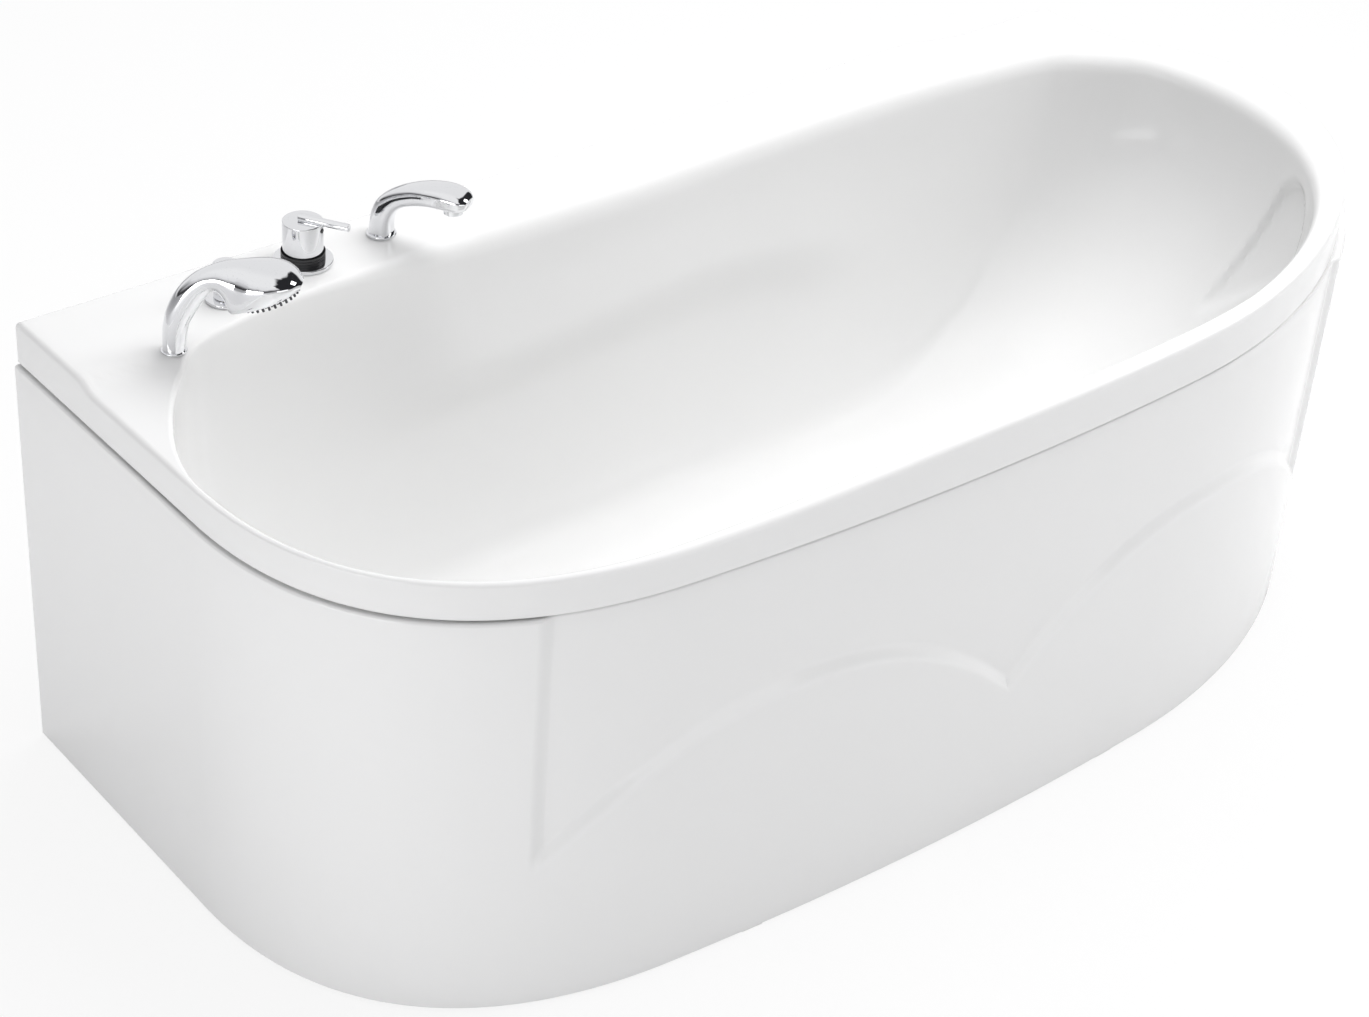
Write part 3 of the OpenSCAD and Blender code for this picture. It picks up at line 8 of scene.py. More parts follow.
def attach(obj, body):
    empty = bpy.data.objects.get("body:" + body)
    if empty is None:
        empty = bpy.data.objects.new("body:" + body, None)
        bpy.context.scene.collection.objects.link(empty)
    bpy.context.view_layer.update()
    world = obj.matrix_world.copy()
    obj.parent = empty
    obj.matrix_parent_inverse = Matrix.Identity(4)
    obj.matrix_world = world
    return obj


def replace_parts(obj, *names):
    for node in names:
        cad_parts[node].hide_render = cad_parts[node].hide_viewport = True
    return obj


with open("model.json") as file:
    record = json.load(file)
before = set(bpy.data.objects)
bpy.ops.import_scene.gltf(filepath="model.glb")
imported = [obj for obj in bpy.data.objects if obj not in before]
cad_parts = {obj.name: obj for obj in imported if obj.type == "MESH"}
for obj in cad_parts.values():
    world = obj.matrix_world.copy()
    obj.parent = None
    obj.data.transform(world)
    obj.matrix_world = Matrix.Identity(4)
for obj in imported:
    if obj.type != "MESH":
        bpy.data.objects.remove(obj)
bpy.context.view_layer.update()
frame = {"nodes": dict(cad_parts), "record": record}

scene = bpy.context.scene
nodes = frame["nodes"]

# The camera stands high in front of the foot end and looks down along the tub, a little rolled.
# Its place and its turn were worked out from the tub's corners and rim.
PHOTO_W, FOCAL_PX, SENSOR_MM, FAR_CLIP = 1369, 2912.3, 36.0, 60.0
eye = (-2.2044, -2.2885, 2.4082)
look_right = (0.77837, -0.62444, 0.06493)
look_up = (0.31284, 0.47546, 0.82224)
look_back = (-0.54431, -0.61969, 0.56543)
camera_data = bpy.data.cameras.new("camera")
camera_data.sensor_width = SENSOR_MM
camera_data.lens = FOCAL_PX / PHOTO_W * SENSOR_MM
camera_data.clip_end = FAR_CLIP
camera = bpy.data.objects.new("camera", camera_data)
turn = Matrix((look_right, look_up, look_back)).transposed().to_4x4()
camera.matrix_world = Matrix.Translation(eye) @ turn
scene.collection.objects.link(camera)
scene.camera = camera
scene.view_settings.view_transform = "Standard"


class Link:
    """A socket's value in shader maths: + - and * on it, or on a number and it, add Math nodes."""

    def __init__(self, paint, socket):
        self.paint, self.socket = paint, socket

    def math(self, operation, a, b):
        return self.paint.node("Math", "Value", {"operation": operation}, (a, b))

    def __add__(self, other):
        return self.math("ADD", self, other)

    def __radd__(self, other):
        return self.math("ADD", other, self)

    def __sub__(self, other):
        return self.math("SUBTRACT", self, other)

    def __rsub__(self, other):
        return self.math("SUBTRACT", other, self)

    def __mul__(self, other):
        return self.math("MULTIPLY", self, other)

    def __rmul__(self, other):
        return self.math("MULTIPLY", other, self)


class Paint:
    """A material and the few ways in which its nodes are added."""

    def __init__(self, name, world=None):
        self.owner = world or bpy.data.materials.new(name)
        self.owner.use_nodes = True
        self.tree = self.owner.node_tree
        self.tree.nodes.clear()

    def node(self, kind, output, settings=None, inputs=()):
        """Adds a node of a kind, sets it up, fills its sockets by number or name, and returns one output."""
        made = self.tree.nodes.new("ShaderNode" + kind)
        for key, value in (settings or {}).items():
            if key == "stops":
                ramp = made.color_ramp
                while len(ramp.elements) < len(value):
                    ramp.elements.new(0.5)
                for element, (place, colour) in zip(ramp.elements, value):
                    element.position, element.color = place, (*colour, 1.0)
            else:
                setattr(made, key, value)
        pairs = inputs.items() if isinstance(inputs, dict) else enumerate(inputs)
        for key, value in pairs:
            socket = made.inputs[key]
            if isinstance(value, Link):
                self.tree.links.new(value.socket, socket)
            elif isinstance(value, tuple) and len(value) == 3 and socket.type == "RGBA":
                socket.default_value = (*value, 1.0)
            else:
                socket.default_value = value
        return Link(self, made.outputs[output])

    def place(self):
        """A point's place on the piece, in metres: every pattern is laid on it."""
        return self.node("TexCoord", "Object")

    def noise(self, scale, detail=3.0, stretch=(1, 1, 1), distortion=0.0):
        """Noise with its mean at a half, on Object coordinates in metres, so scale is in grains a metre."""
        spot = self.node("Mapping", "Vector", {}, {"Vector": self.place(), "Scale": stretch})
        return self.node("TexNoise", "Fac", {}, {"Vector": spot, "Scale": scale, "Detail": detail,
                                                 "Distortion": distortion})

    def step(self, value, low, high):
        """A smooth step of a value, from 0 at low to 1 at high."""
        return self.node("MapRange", "Result", {"interpolation_type": "SMOOTHSTEP"},
                         {"Value": value, "From Min": low, "From Max": high})

    def blend(self, amount, a, b):
        """The colour a where the amount is 0, and b where it is 1."""
        return self.node("Mix", 2, {"data_type": "RGBA"}, {0: amount, 6: a, 7: b})

    def bump(self, height, strength, distance):
        """A normal that follows a height, which stands for a distance in metres."""
        return self.node("Bump", "Normal", {},
                         {"Height": height, "Strength": strength, "Distance": distance})

    def finish(self, **sockets):
        """The Principled shader with these sockets, names written with underscores for spaces."""
        shader = self.node("BsdfPrincipled", "BSDF", {},
                           {key.replace("_", " "): value for key, value in sockets.items()})
        return self.end(shader)

    def end(self, shader, kind="OutputMaterial"):
        """Joins a shader to the output and returns the finished material or world."""
        made = self.tree.nodes.new("ShaderNode" + kind)
        self.tree.links.new(shader.socket, made.inputs["Surface"])
        return self.owner


# The studio: a pale floor, a white surround and four soft boxes. What shines sees a room instead,
# light overhead and on its far side, dark round its near horizon, so that the chrome shows its forms.
# Each room is a list of (height, colour) stops, from straight down at 0 to straight up at 1.
PLAIN_ROOM = [(0.0, (0.80, 0.80, 0.80)), (0.50, (0.72, 0.72, 0.72)), (0.60, (0.40, 0.40, 0.41)),
              (1.0, (0.40, 0.40, 0.41))]
MIRRORED_ROOM = [(0.0, (0.72, 0.72, 0.72)), (0.48, (0.64, 0.64, 0.64)), (0.51, (0.03, 0.03, 0.032)),
                 (0.565, (0.07, 0.07, 0.073)), (0.62, (0.42, 0.42, 0.43)), (0.70, (0.88, 0.88, 0.89)),
                 (0.85, (1.0, 1.0, 1.0))]
FAR_WALL, DARK_DOOR = (0.93, 0.93, 0.935), (0.025, 0.025, 0.028)
FAR_WAY, DOOR_WAY = (0.62, 0.78, 0.0), (0.74, -0.58, 0.34)
HORIZON_WAVE, DOOR_WAVE, FAR_EDGE, DOOR_EDGE = 0.22, 0.5, (0.05, 0.55), (0.52, 0.64)
FLOOR_REACH, FLOOR_SINK, FLOOR_GREY, FLOOR_GLOW = 14.0, 0.0005, (0.86, 0.86, 0.86), 0.86
PURE_WHITE = (1.0, 1.0, 1.0)
world = bpy.data.worlds.new("studio")
scene.world = world
air = Paint("studio", world)
ray = air.node("LightPath", "Is Camera Ray")
heading = air.node("TexCoord", "Generated")
height = air.node("SeparateXYZ", "Z", {}, {"Vector": heading}) * 0.5 + 0.5
room = air.node("ValToRGB", "Color", {"stops": PLAIN_ROOM}, {"Fac": height})
uneven = air.node("TexNoise", "Fac", {}, {"Vector": heading, "Scale": 2.1, "Detail": 1.5, "Distortion": 0.5})
open_room = air.node("ValToRGB", "Color", {"stops": MIRRORED_ROOM},
                     {"Fac": height + (uneven - 0.5) * HORIZON_WAVE})
doorway = air.node("VectorMath", "Value", {"operation": "DOT_PRODUCT"}, (heading, DOOR_WAY))
behind = air.node("VectorMath", "Value", {"operation": "DOT_PRODUCT"}, (heading, FAR_WAY))
lit_room = air.blend(air.step(behind, *FAR_EDGE), open_room, FAR_WALL)
mirrored = air.blend(air.step(doorway + (uneven - 0.5) * DOOR_WAVE, *DOOR_EDGE), lit_room, DARK_DOOR)
gloss = air.node("LightPath", "Is Glossy Ray")
surround = air.node("Background", "Background", {},
                    {"Color": air.blend(gloss, room, mirrored), "Strength": 1.0})
white = air.node("Background", "Background", {}, {"Color": PURE_WHITE, "Strength": 1.0})
air.end(air.node("MixShader", "Shader", {}, (ray, surround, white)), "OutputWorld")

floor_mesh = bpy.data.meshes.new("floor")
floor_corners = [(x * FLOOR_REACH, y * FLOOR_REACH, -FLOOR_SINK)
                 for x, y in ((-1, -1), (1, -1), (1, 1), (-1, 1))]
floor_mesh.from_pydata(floor_corners, [], [(0, 1, 2, 3)])
floor = bpy.data.objects.new("floor", floor_mesh)
scene.collection.objects.link(floor)
ground = Paint("pale floor")
seen = ground.node("LightPath", "Is Camera Ray")
matt = ground.node("BsdfDiffuse", "BSDF", {}, {"Color": FLOOR_GREY})
glow = ground.node("Emission", "Emission", {}, {"Color": PURE_WHITE, "Strength": 1.0})
floor_mix = ground.node("MixShader", "Shader", {}, (seen * FLOOR_GLOW, matt, glow))
floor_mesh.materials.append(ground.end(floor_mix))


def soft_box(name, place, target, size, power, in_chrome=True):
    """An area lamp at a place, facing a target, of a size in metres and a power in watts."""
    data = bpy.data.lights.new(name, "AREA")
    data.shape, data.size, data.size_y, data.energy = "RECTANGLE", size[0], size[1], power
    lamp = bpy.data.objects.new(name, data)
    way = np.array(target) - np.array(place)
    lamp.rotation_euler = Vector(way).to_track_quat("-Z", "Y").to_euler()
    lamp.location = place
    lamp.visible_glossy = in_chrome
    scene.collection.objects.link(lamp)


soft_box("top box", (1.1, 0.2, 3.4), (0.0, 0.0, 0.4), (4.0, 2.6), 128, in_chrome=False)
soft_box("right box", (3.6, -1.0, 2.8), (-0.4, 0.0, 0.3), (1.5, 1.8), 31)
soft_box("left box", (-3.6, -1.0, 0.5), (-0.4, 0.0, 0.3), (2.0, 1.0), 33)
soft_box("front box", (0.0, -4.2, 0.5), (0.2, 0.0, 0.2), (3.2, 1.0), 14)


# The shell is one sheet of white acrylic, drawn down over a mould and backed with glass fibre.
# Its rim, tap deck and bowl are a single skin, which stands on the board under its floor.
TUB_L, TUB_W = 1800.0, 815.0
DECK_Z, DECK_DROP, FRONT_RISE, WAVE_RISE, CORNER_FALL = 617.0, 10.0, 14.0, 8.0, 5.0
FLOOR_Z, FLOOR_FALL, SHELL_T, SKIRT_Z = 165.0, 5.0, 5.0, 561.0
RIM_INSET, HEAD_INSET, EDGE_R, LIP_R, HEAD_LIP_R, ROLL_W = 5.0, 12.0, 9.0, 7.0, 36.0, 62.0
DROP_FROM_WALL, DROP_SWING, DROP_RUN = 155.0, 25.0, 26.0
ARMREST_OUT, ARMREST_MID, ARMREST_HALF, ARMREST_START, ARMREST_FALL = 26.0, 0.5, 0.244, 0.06, 0.24
CREST_Q, CREST_FOOT, CREST_HEAD = 0.27, 0.08, 0.2
SCOOP_RUN, SCOOP_FROM, SCOOP_TO = 0.406, 0.678, 0.799
SCOOP_DEPTH, SCOOP_TOP, SCOOP_TAIL, SCOOP_R, SCOOP_TAIL_R, SCOOP_EDGE = 9.0, 92.0, 226.0, 66.0, 8.0, 14.0
FLAT_R, WASTE_HOLE_R = 44.0, 26.0
BOWL_POWER, HEAD_SOFTER, FOOT_SOFTER, ROUND_SHARE = 3.2, 1.5, 0.7, 0.45
OUTLINE = np.array([
    [[0, 0], [0, 0.16], [0, 0.33]],
    [[0, 0.491], [0, 0.797], [0.089, 0.946]],
    [[0.222, 0.973], [0.367, 1.003], [0.511, 1.0085]],
    [[0.656, 0.990], [0.839, 0.969], [1, 0.736]],
    [[1, 0.423], [1, 0.276], [0.959, 0.203]],
    [[0.952, 0.098], [0.950, 0.065], [0.948, 0.033]],
    [[0.948, 0], [0.817, 0], [0.622, 0]]])
LIP = np.array([
    [[0.089, 0.191], [0.062, 0.215], [0.0078, 0.368]],
    [[0.0078, 0.497], [0.0078, 0.785], [0.092, 0.929]],
    [[0.223, 0.945], [0.367, 0.967], [0.511, 0.969]],
    [[0.656, 0.951], [0.822, 0.930], [0.964, 0.706]],
    [[0.953, 0.405], [0.949, 0.322], [0.936, 0.252]],
    [[0.911, 0.209], [0.901, 0.190], [0.891, 0.176]],
    [[0.881, 0.166], [0.839, 0.125], [0.639, 0.137]],
    [[0.489, 0.152], [0.356, 0.167], [0.167, 0.126]]])
CENTRE = np.array([0.318 * TUB_L, 0.536 * TUB_W])
FLOOR_SHARES = np.array([0.488, 0.586])
WASTE = np.array([375.0, CENTRE[1]])
# Where the rim's changes start and end, as shares of the tub's length or of its width from the wall.
HEAD_SIDE = (0.209, 0.536)
DROP_BEND = (0.033, 0.072)
FRONT_RISE_RUN, WAVE_RISE_RUN = (0.217, 0.472), (0.428, 0.772)
CORNER_LENGTH, CORNER_WIDTH = (0.772, 0.848), (0.147, 0.368)
FRONT_LIP_RUN, WALL_LIP_RUN = (0.667, 0.889), (0.144, 0.389)
INSET_RUN = (0.62, 0.9)
ARMREST_IN, ARMREST_AWAY = (0.183, 0.311), (0.64, 0.74)


def ease(a, b, v):
    """The smooth step 3t^2 - 2t^3 with t = (v - a) / (b - a), held between 0 and 1."""
    t = np.clip((v - a) / (b - a), 0.0, 1.0)
    return t * t * (3.0 - 2.0 * t)


def mix(a, b, t):
    """The value a share t of the way from a to b."""
    return a + (b - a) * t


def bezier(table, piece, t):
    """A cubic Bezier piece of a closed plan line, the sum of its 4 Bernstein terms: places, directions."""
    p = [table[piece][0], table[piece][1], table[piece][2], table[(piece + 1) % len(table)][0]]
    p = [q * (TUB_L, TUB_W) for q in p]
    t = t[:, None]
    spot = (1 - t) ** 3 * p[0] + 3 * (1 - t) ** 2 * t * p[1] + 3 * (1 - t) * t * t * p[2] + t ** 3 * p[3]
    way = 3 * (1 - t) ** 2 * (p[1] - p[0]) + 6 * (1 - t) * t * (p[2] - p[1]) + 3 * t * t * (p[3] - p[2])
    return spot, way / np.linalg.norm(way, axis=1)[:, None]


def ease_x(run, p):
    """The smooth step over a run of shares of the tub's length, at plan points."""
    return ease(run[0] * TUB_L, run[1] * TUB_L, p[..., 0])


def ease_y(run, p):
    """The smooth step over a run of shares of the tub's width, at plan points."""
    return ease(run[0] * TUB_W, run[1] * TUB_W, p[..., 1])


def head_share(p):
    """1 near the wall and 0 at the front, by the smooth step across the tub's width."""
    return 1 - ease_y(HEAD_SIDE, p)


def base_z(p):
    """Deck height without its rises: the tap deck, dropped by a soft step to the front deck."""
    line = DROP_FROM_WALL + DROP_SWING * ease_x(DROP_BEND, p)
    foot = 1 - ease(line - DROP_RUN / 2, line + DROP_RUN / 2, p[..., 1])
    return DECK_Z - DECK_DROP * (1 - np.where(p[..., 0] < TUB_L / 2, foot, head_share(p)))


def rise_at(p):
    """The rim's rise towards the head: the front's smooth step, mixed into the wall side's gentler one."""
    return mix(FRONT_RISE * ease_x(FRONT_RISE_RUN, p), WAVE_RISE * ease_x(WAVE_RISE_RUN, p), head_share(p))


def outer_rise(p):
    """The rise at the rim's outer edge, which falls away instead at the head end's wall corner."""
    corner = ease_x(CORNER_LENGTH, p) * (1 - ease_y(CORNER_WIDTH, p))
    return mix(rise_at(p), -CORNER_FALL, corner)


def lip_radius(p):
    """The round between deck and bowl: it grows from its foot radius to its head radius along the tub."""
    return mix(mix(LIP_R, HEAD_LIP_R, ease_x(FRONT_LIP_RUN, p)),
               mix(LIP_R, HEAD_LIP_R, ease_x(WALL_LIP_RUN, p)), head_share(p))


def face_inset(p):
    """How far the rim's edge lies inside the outline, by a smooth step from foot to head."""
    return mix(RIM_INSET, HEAD_INSET, ease_x(INSET_RUN, p))


DENSE = 4
COLUMNS = [8 * DENSE, 12 * DENSE, 12 * DENSE, 24 * DENSE, 6 * DENSE, 3 * DENSE, 10 * DENSE, 8 * DENSE]
SHAPED_PIECES, HEAD_PIECE = 6, 3


def rim_at(piece, t):
    """The rim's edge: a piece of the outline, moved in by the rim's inset."""
    spot, way = bezier(OUTLINE, piece, t)
    return spot + np.stack([way[:, 1], -way[:, 0]], 1) * face_inset(spot)[:, None]


rim_line, lip_line, piece_of, share_of = [], [], [], []
for piece, count in enumerate(COLUMNS):
    t = np.arange(count) / count
    lip_line.append(bezier(LIP, piece, t)[0])
    piece_of.append(np.full(count, piece))
    share_of.append(t)
    if piece < SHAPED_PIECES:
        rim_line.append(rim_at(piece, t))
    else:
        end_x = rim_at(SHAPED_PIECES - 1, np.array([1.0]))[0, 0]
        before = sum(COLUMNS[SHAPED_PIECES:piece])
        done = (np.arange(count) + before) / sum(COLUMNS[SHAPED_PIECES:])
        rim_line.append(np.stack([mix(end_x, RIM_INSET, done), np.zeros(count)], 1))
rim_line, lip_line = np.concatenate(rim_line), np.concatenate(lip_line)
piece_of, share_of = np.concatenate(piece_of), np.concatenate(share_of)

rim_gap = lip_line - rim_line
rim_w = np.linalg.norm(rim_gap, axis=1)
rim_dir = rim_gap / rim_w[:, None]
edge_r = np.minimum(EDGE_R, rim_w * ROUND_SHARE)
lip_r = np.minimum(lip_radius(lip_line), rim_w * ROUND_SHARE)
edge_z = base_z(rim_line) + outer_rise(rim_line)
lip_z = base_z(lip_line) + rise_at(lip_line)
bowl_top = lip_z - lip_r
edge_floor = FLOOR_Z + FLOOR_FALL
power = (BOWL_POWER - HEAD_SOFTER * np.clip((lip_line[:, 0] - CENTRE[0]) / (TUB_L - CENTRE[0]), 0, 1) ** 2
         - FOOT_SOFTER * np.clip((CENTRE[0] - lip_line[:, 0]) / CENTRE[0], 0, 1) ** 2)
outward = lip_line - CENTRE
outward = outward / np.linalg.norm(outward, axis=1)[:, None]


def at(xy, z):
    """Plan points (from the foot end, from the wall) and heights, in mm, as points of the frame."""
    return np.stack([xy[:, 0] - TUB_L / 2, TUB_W / 2 - xy[:, 1], np.broadcast_to(z, xy[:, 0].shape)], 1)


def deck_ring(share):
    """A ring of the deck, a share of the way from its edge's round to its lip's, rolled by a smooth step."""
    d = mix(rim_w - edge_r, lip_r, share)
    p = lip_line - rim_dir * d[:, None]
    roll = ease(np.minimum(ROLL_W, rim_w - edge_r), lip_r, d)
    return at(p, base_z(p) + mix(outer_rise(rim_line), rise_at(lip_line), roll))


def armrest(q):
    """A ledge that swells to its crest at a depth share, then falls away: out * rise(q) * fall(q)."""
    u = (lip_line[:, 0] / TUB_L - ARMREST_MID) / ARMREST_HALF
    top = CREST_Q + np.where(u < 0, CREST_FOOT, CREST_HEAD) * u * u
    along = ease_x(ARMREST_IN, lip_line) * (1 - ease_x(ARMREST_AWAY, lip_line))
    rise = np.clip((q - ARMREST_START) / (top - ARMREST_START), 0, 1)
    return ARMREST_OUT * along * rise * (1 - ease(top, top + ARMREST_FALL, q))


def scoop(depth):
    """A teardrop hollow: depth * (1 - smooth step of the distance to a capsule whose radius tapers)."""
    run = SCOOP_RUN * TUB_L
    p = np.stack([np.where(piece_of == HEAD_PIECE, run * share_of, -run), depth], 1)
    a, b = np.array([run * SCOOP_FROM, SCOOP_TOP]), np.array([run * SCOOP_TO, SCOOP_TAIL])
    t = np.clip((p - a) @ (b - a) / ((b - a) @ (b - a)), 0, 1)
    d = np.linalg.norm(p - (a + t[:, None] * (b - a)), axis=1) - mix(SCOOP_R, SCOOP_TAIL_R, t)
    return SCOOP_DEPTH * (1 - ease(-SCOOP_EDGE / 2, SCOOP_EDGE / 2, d))


def bowl_plan(p):
    """The lip's plan line, drawn in towards the centre by a share p of the way to the floor's edge."""
    return CENTRE + (lip_line - CENTRE) * (1 - (1 - FLOOR_SHARES) * p[:, None])


def bowl_ring(angle, back=0.0):
    """The bowl at an angle of its section, x = 1 - cos^(2/n), z = sin^(2/n), set off along its normal."""
    q, p = np.sin(angle) ** (2 / power), 1 - np.cos(angle) ** (2 / power)
    depth = (bowl_top - edge_floor) * q
    xy = bowl_plan(p) + outward * (scoop(depth) - armrest(q))[:, None]
    if back:
        w = np.linalg.norm(lip_line - bowl_plan(np.ones_like(p)), axis=1)
        m = np.stack([np.clip(1 - p, 0, 1) ** (power - 1) / w,
                      q ** (power - 1) / (bowl_top - edge_floor)], 1)
        m = m / np.linalg.norm(m, axis=1)[:, None]
        return at(xy + outward * (m[:, 0] * back)[:, None], bowl_top - depth - m[:, 1] * back)
    return at(xy, bowl_top - depth)


floor_edge = bowl_plan(np.ones(len(lip_line)))
flat_way = floor_edge - WASTE
flat_way = flat_way / np.linalg.norm(flat_way, axis=1)[:, None]
flat_ring = WASTE + flat_way * FLAT_R


def mesh_of(name, rings, material, body, shut=False, sharp=38):
    """A grid of points in mm, rings by points, as a closed skin: its ends are capped, or joined if shut."""
    rings = np.asarray(rings, dtype=float)
    m, n = rings.shape[:2]
    points = rings.reshape(-1, 3) * 0.001
    rows = np.arange(m if shut else m - 1)
    i, k = np.meshgrid(rows, np.arange(n), indexing="ij")
    j, l = (i + 1) % m, (k + 1) % n
    faces = np.stack([i * n + k, j * n + k, j * n + l, i * n + l], -1).reshape(-1, 4).tolist()
    if not shut:
        faces.append(list(range(n)))
        faces.append(list(range(m * n - 1, (m - 1) * n - 1, -1)))
    return piece_of_points(name, points, faces, material, body, sharp)


def piece_of_points(name, points, faces, material, body, sharp):
    """Puts points in metres and faces into a mesh with its material, shaded smooth up to an angle, on its
    body.
    """
    made = bpy.data.meshes.new(name)
    made.from_pydata(points.tolist(), [], faces)
    made.validate()
    made.materials.append(material)
    made.shade_smooth()
    made.set_sharp_from_angle(angle=math.radians(sharp))
    thing = bpy.data.objects.new(name, made)
    scene.collection.objects.link(thing)
    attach(thing, body)
    return thing


def facing_out(thing):
    """Turns all faces outwards if the closed skin's volume comes out below zero."""
    made = thing.data
    made.calc_loop_triangles()
    v = np.empty(len(made.vertices) * 3)
    made.vertices.foreach_get("co", v)
    t = np.empty(len(made.loop_triangles) * 3, dtype=int)
    made.loop_triangles.foreach_get("vertices", t)
    v, t = v.reshape(-1, 3), t.reshape(-1, 3)
    volume = np.einsum("ij,ij->i", v[t[:, 0]], np.cross(v[t[:, 1]], v[t[:, 2]])).sum() / 6
    if volume < 0:
        made.flip_normals()
    return thing


ACRYLIC_WHITE, ACRYLIC_IOR, GLOSS, DULLING = (0.82, 0.82, 0.816), 1.49, 0.13, 0.07


def acrylic(name, tint):
    """Gloss white acrylic: a faint mottle, a soft dulling in patches, and a barely uneven skin."""
    p = Paint(name)
    mottle = p.noise(3.0, 4.0)
    wear = p.step(p.noise(9.0, 6.0, distortion=0.6), 0.52, 0.74)
    colour = p.blend(mottle, tint, tuple(c * 0.985 for c in tint))
    ripple = p.noise(5.0, 2.0)
    return p.finish(Base_Color=colour, Roughness=GLOSS + wear * DULLING, IOR=ACRYLIC_IOR,
                    Normal=p.bump(ripple, 0.06, 0.004))


shell_white = acrylic("gloss white acrylic", ACRYLIC_WHITE)
EDGE_STEPS, DECK_STEPS, LIP_STEPS, BOWL_STEPS, FLOOR_STEPS, BACK_STEPS = 7, 15, 13, 91, 9, 30
BACK_FLOOR, BACK_TOP_ANGLE, SKIN_GAP, HEM, HEM_OUT = (0.66, 0.33), 4, 0.3, 1.0, 0.01
rings = [at(rim_line, SKIRT_Z), at(rim_line + rim_dir * HEM_OUT, SKIRT_Z + HEM)]
rings += [at(rim_line + rim_dir * (edge_r * (1 - math.cos(a)))[:, None], edge_z - edge_r * (1 - math.sin(a)))
          for a in np.radians(np.linspace(0, 90, EDGE_STEPS))]
rings += [deck_ring(s) for s in np.linspace(0, 1, DECK_STEPS)[1:-1]]
rings += [at(lip_line - rim_dir * (lip_r * (1 - math.sin(a)))[:, None], lip_z - lip_r * (1 - math.cos(a)))
          for a in np.radians(np.linspace(0, 90, LIP_STEPS))]
rings += [bowl_ring(np.full(len(power), a)) for a in np.radians(np.linspace(0, 90, BOWL_STEPS)[1:])]
rings += [at(mix(floor_edge, flat_ring, s), mix(edge_floor, FLOOR_Z, s))
          for s in np.linspace(0, 1, FLOOR_STEPS)[1:]]
hole_line = WASTE + flat_way * WASTE_HOLE_R
rings += [at(hole_line, FLOOR_Z), at(hole_line, FLOOR_Z - SHELL_T), at(flat_ring, FLOOR_Z - SHELL_T)]
rings += [at(mix(floor_edge, flat_ring, s), mix(edge_floor, FLOOR_Z, s) - SHELL_T) for s in BACK_FLOOR]
rings += [bowl_ring(np.full(len(power), a), SHELL_T)
          for a in np.radians(np.linspace(90, BACK_TOP_ANGLE, BACK_STEPS))]
back_t = np.minimum(SHELL_T, rim_w / 2 - SKIN_GAP)[:, None]
rings += [at(lip_line - rim_dir * back_t, bowl_top)]
rings += [deck_ring(1.0) - (0, 0, SHELL_T), deck_ring(0.5) - (0, 0, SHELL_T)]
rings += [at(rim_line + rim_dir * back_t, edge_z - SHELL_T), at(rim_line + rim_dir * back_t, SKIRT_Z)]
shell = facing_out(mesh_of("tub_shell", rings, shell_white, "tub", shut=True))
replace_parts(shell, "bath_shell")

# A sheet of the same acrylic, formed over a mould with two arches, wraps from the foot end round to
# the head end. It hangs under the rim with a thin gap and stands on small feet behind its edge.
PANEL_T, PANEL_FOOT, PANEL_TOP, PANEL_EDGE_R, FLANGE = 4.0, 3.0, 558.0, 4.0, 8.0
RELIEF, CUSP_Z, ARCH_RISE, BAND_H, CREASE_W = 8.0, 215.0, 153.0, 24.0, 22.0
CORNER_RUN, ARCH_RUN, ARCH_POWER = 845.93, 685.98, 2.2
RELIEF_END = CORNER_RUN + 2 * ARCH_RUN
FACE_STEP, BAND_REACH, FLANGE_SPARE, FLANGE_FALL, RIM_SPARE = 4, 0.75, 0.6, 0.3, 9.0
CORNER_STEPS, RELIEF_STEPS, HEAD_STEPS, CREASE_STEPS = 160, 281, 120, 15
LOW_ROWS, BAND_ROWS, HIGH_ROWS, EDGE_ROWS = 9, 19, 10, 6
BACK_LEVELS = (0.5, 0.25, 0.0, -0.25, -0.5)
fine = np.linspace(0, 1, 401)[:-1]
face_line = np.concatenate([bezier(OUTLINE, piece, fine)[0] for piece in range(SHAPED_PIECES)]
                           + [OUTLINE[SHAPED_PIECES][:1] * (TUB_L, TUB_W)])
face_run = np.concatenate([[0], np.cumsum(np.linalg.norm(np.diff(face_line, axis=0), axis=1))])


def face_at(s):
    """Plan points of the panel's face at runs s along it, in mm from the foot end's wall corner."""
    return np.stack([np.interp(s, face_run, face_line[:, 0]), np.interp(s, face_run, face_line[:, 1])], 1)


def face_in(s):
    """The plan direction from the panel's face towards the tub, from its run just before and after."""
    way = face_at(np.minimum(s + FACE_STEP, face_run[-1])) - face_at(np.maximum(s - FACE_STEP, 0))
    way = way / np.linalg.norm(way, axis=1)[:, None]
    return np.stack([way[:, 1], -way[:, 0]], 1)


def arch_z(s):
    """The arches' middle line: cusp + rise * (1 - |u|^power), with u from -1 to 1 along each arch."""
    inside = (s >= CORNER_RUN) & (s <= RELIEF_END)
    u = np.where(inside, 2 * (((s - CORNER_RUN) / ARCH_RUN) % 1.0) - 1, 1.0)
    return CUSP_Z + ARCH_RISE * (1 - np.abs(u) ** ARCH_POWER)


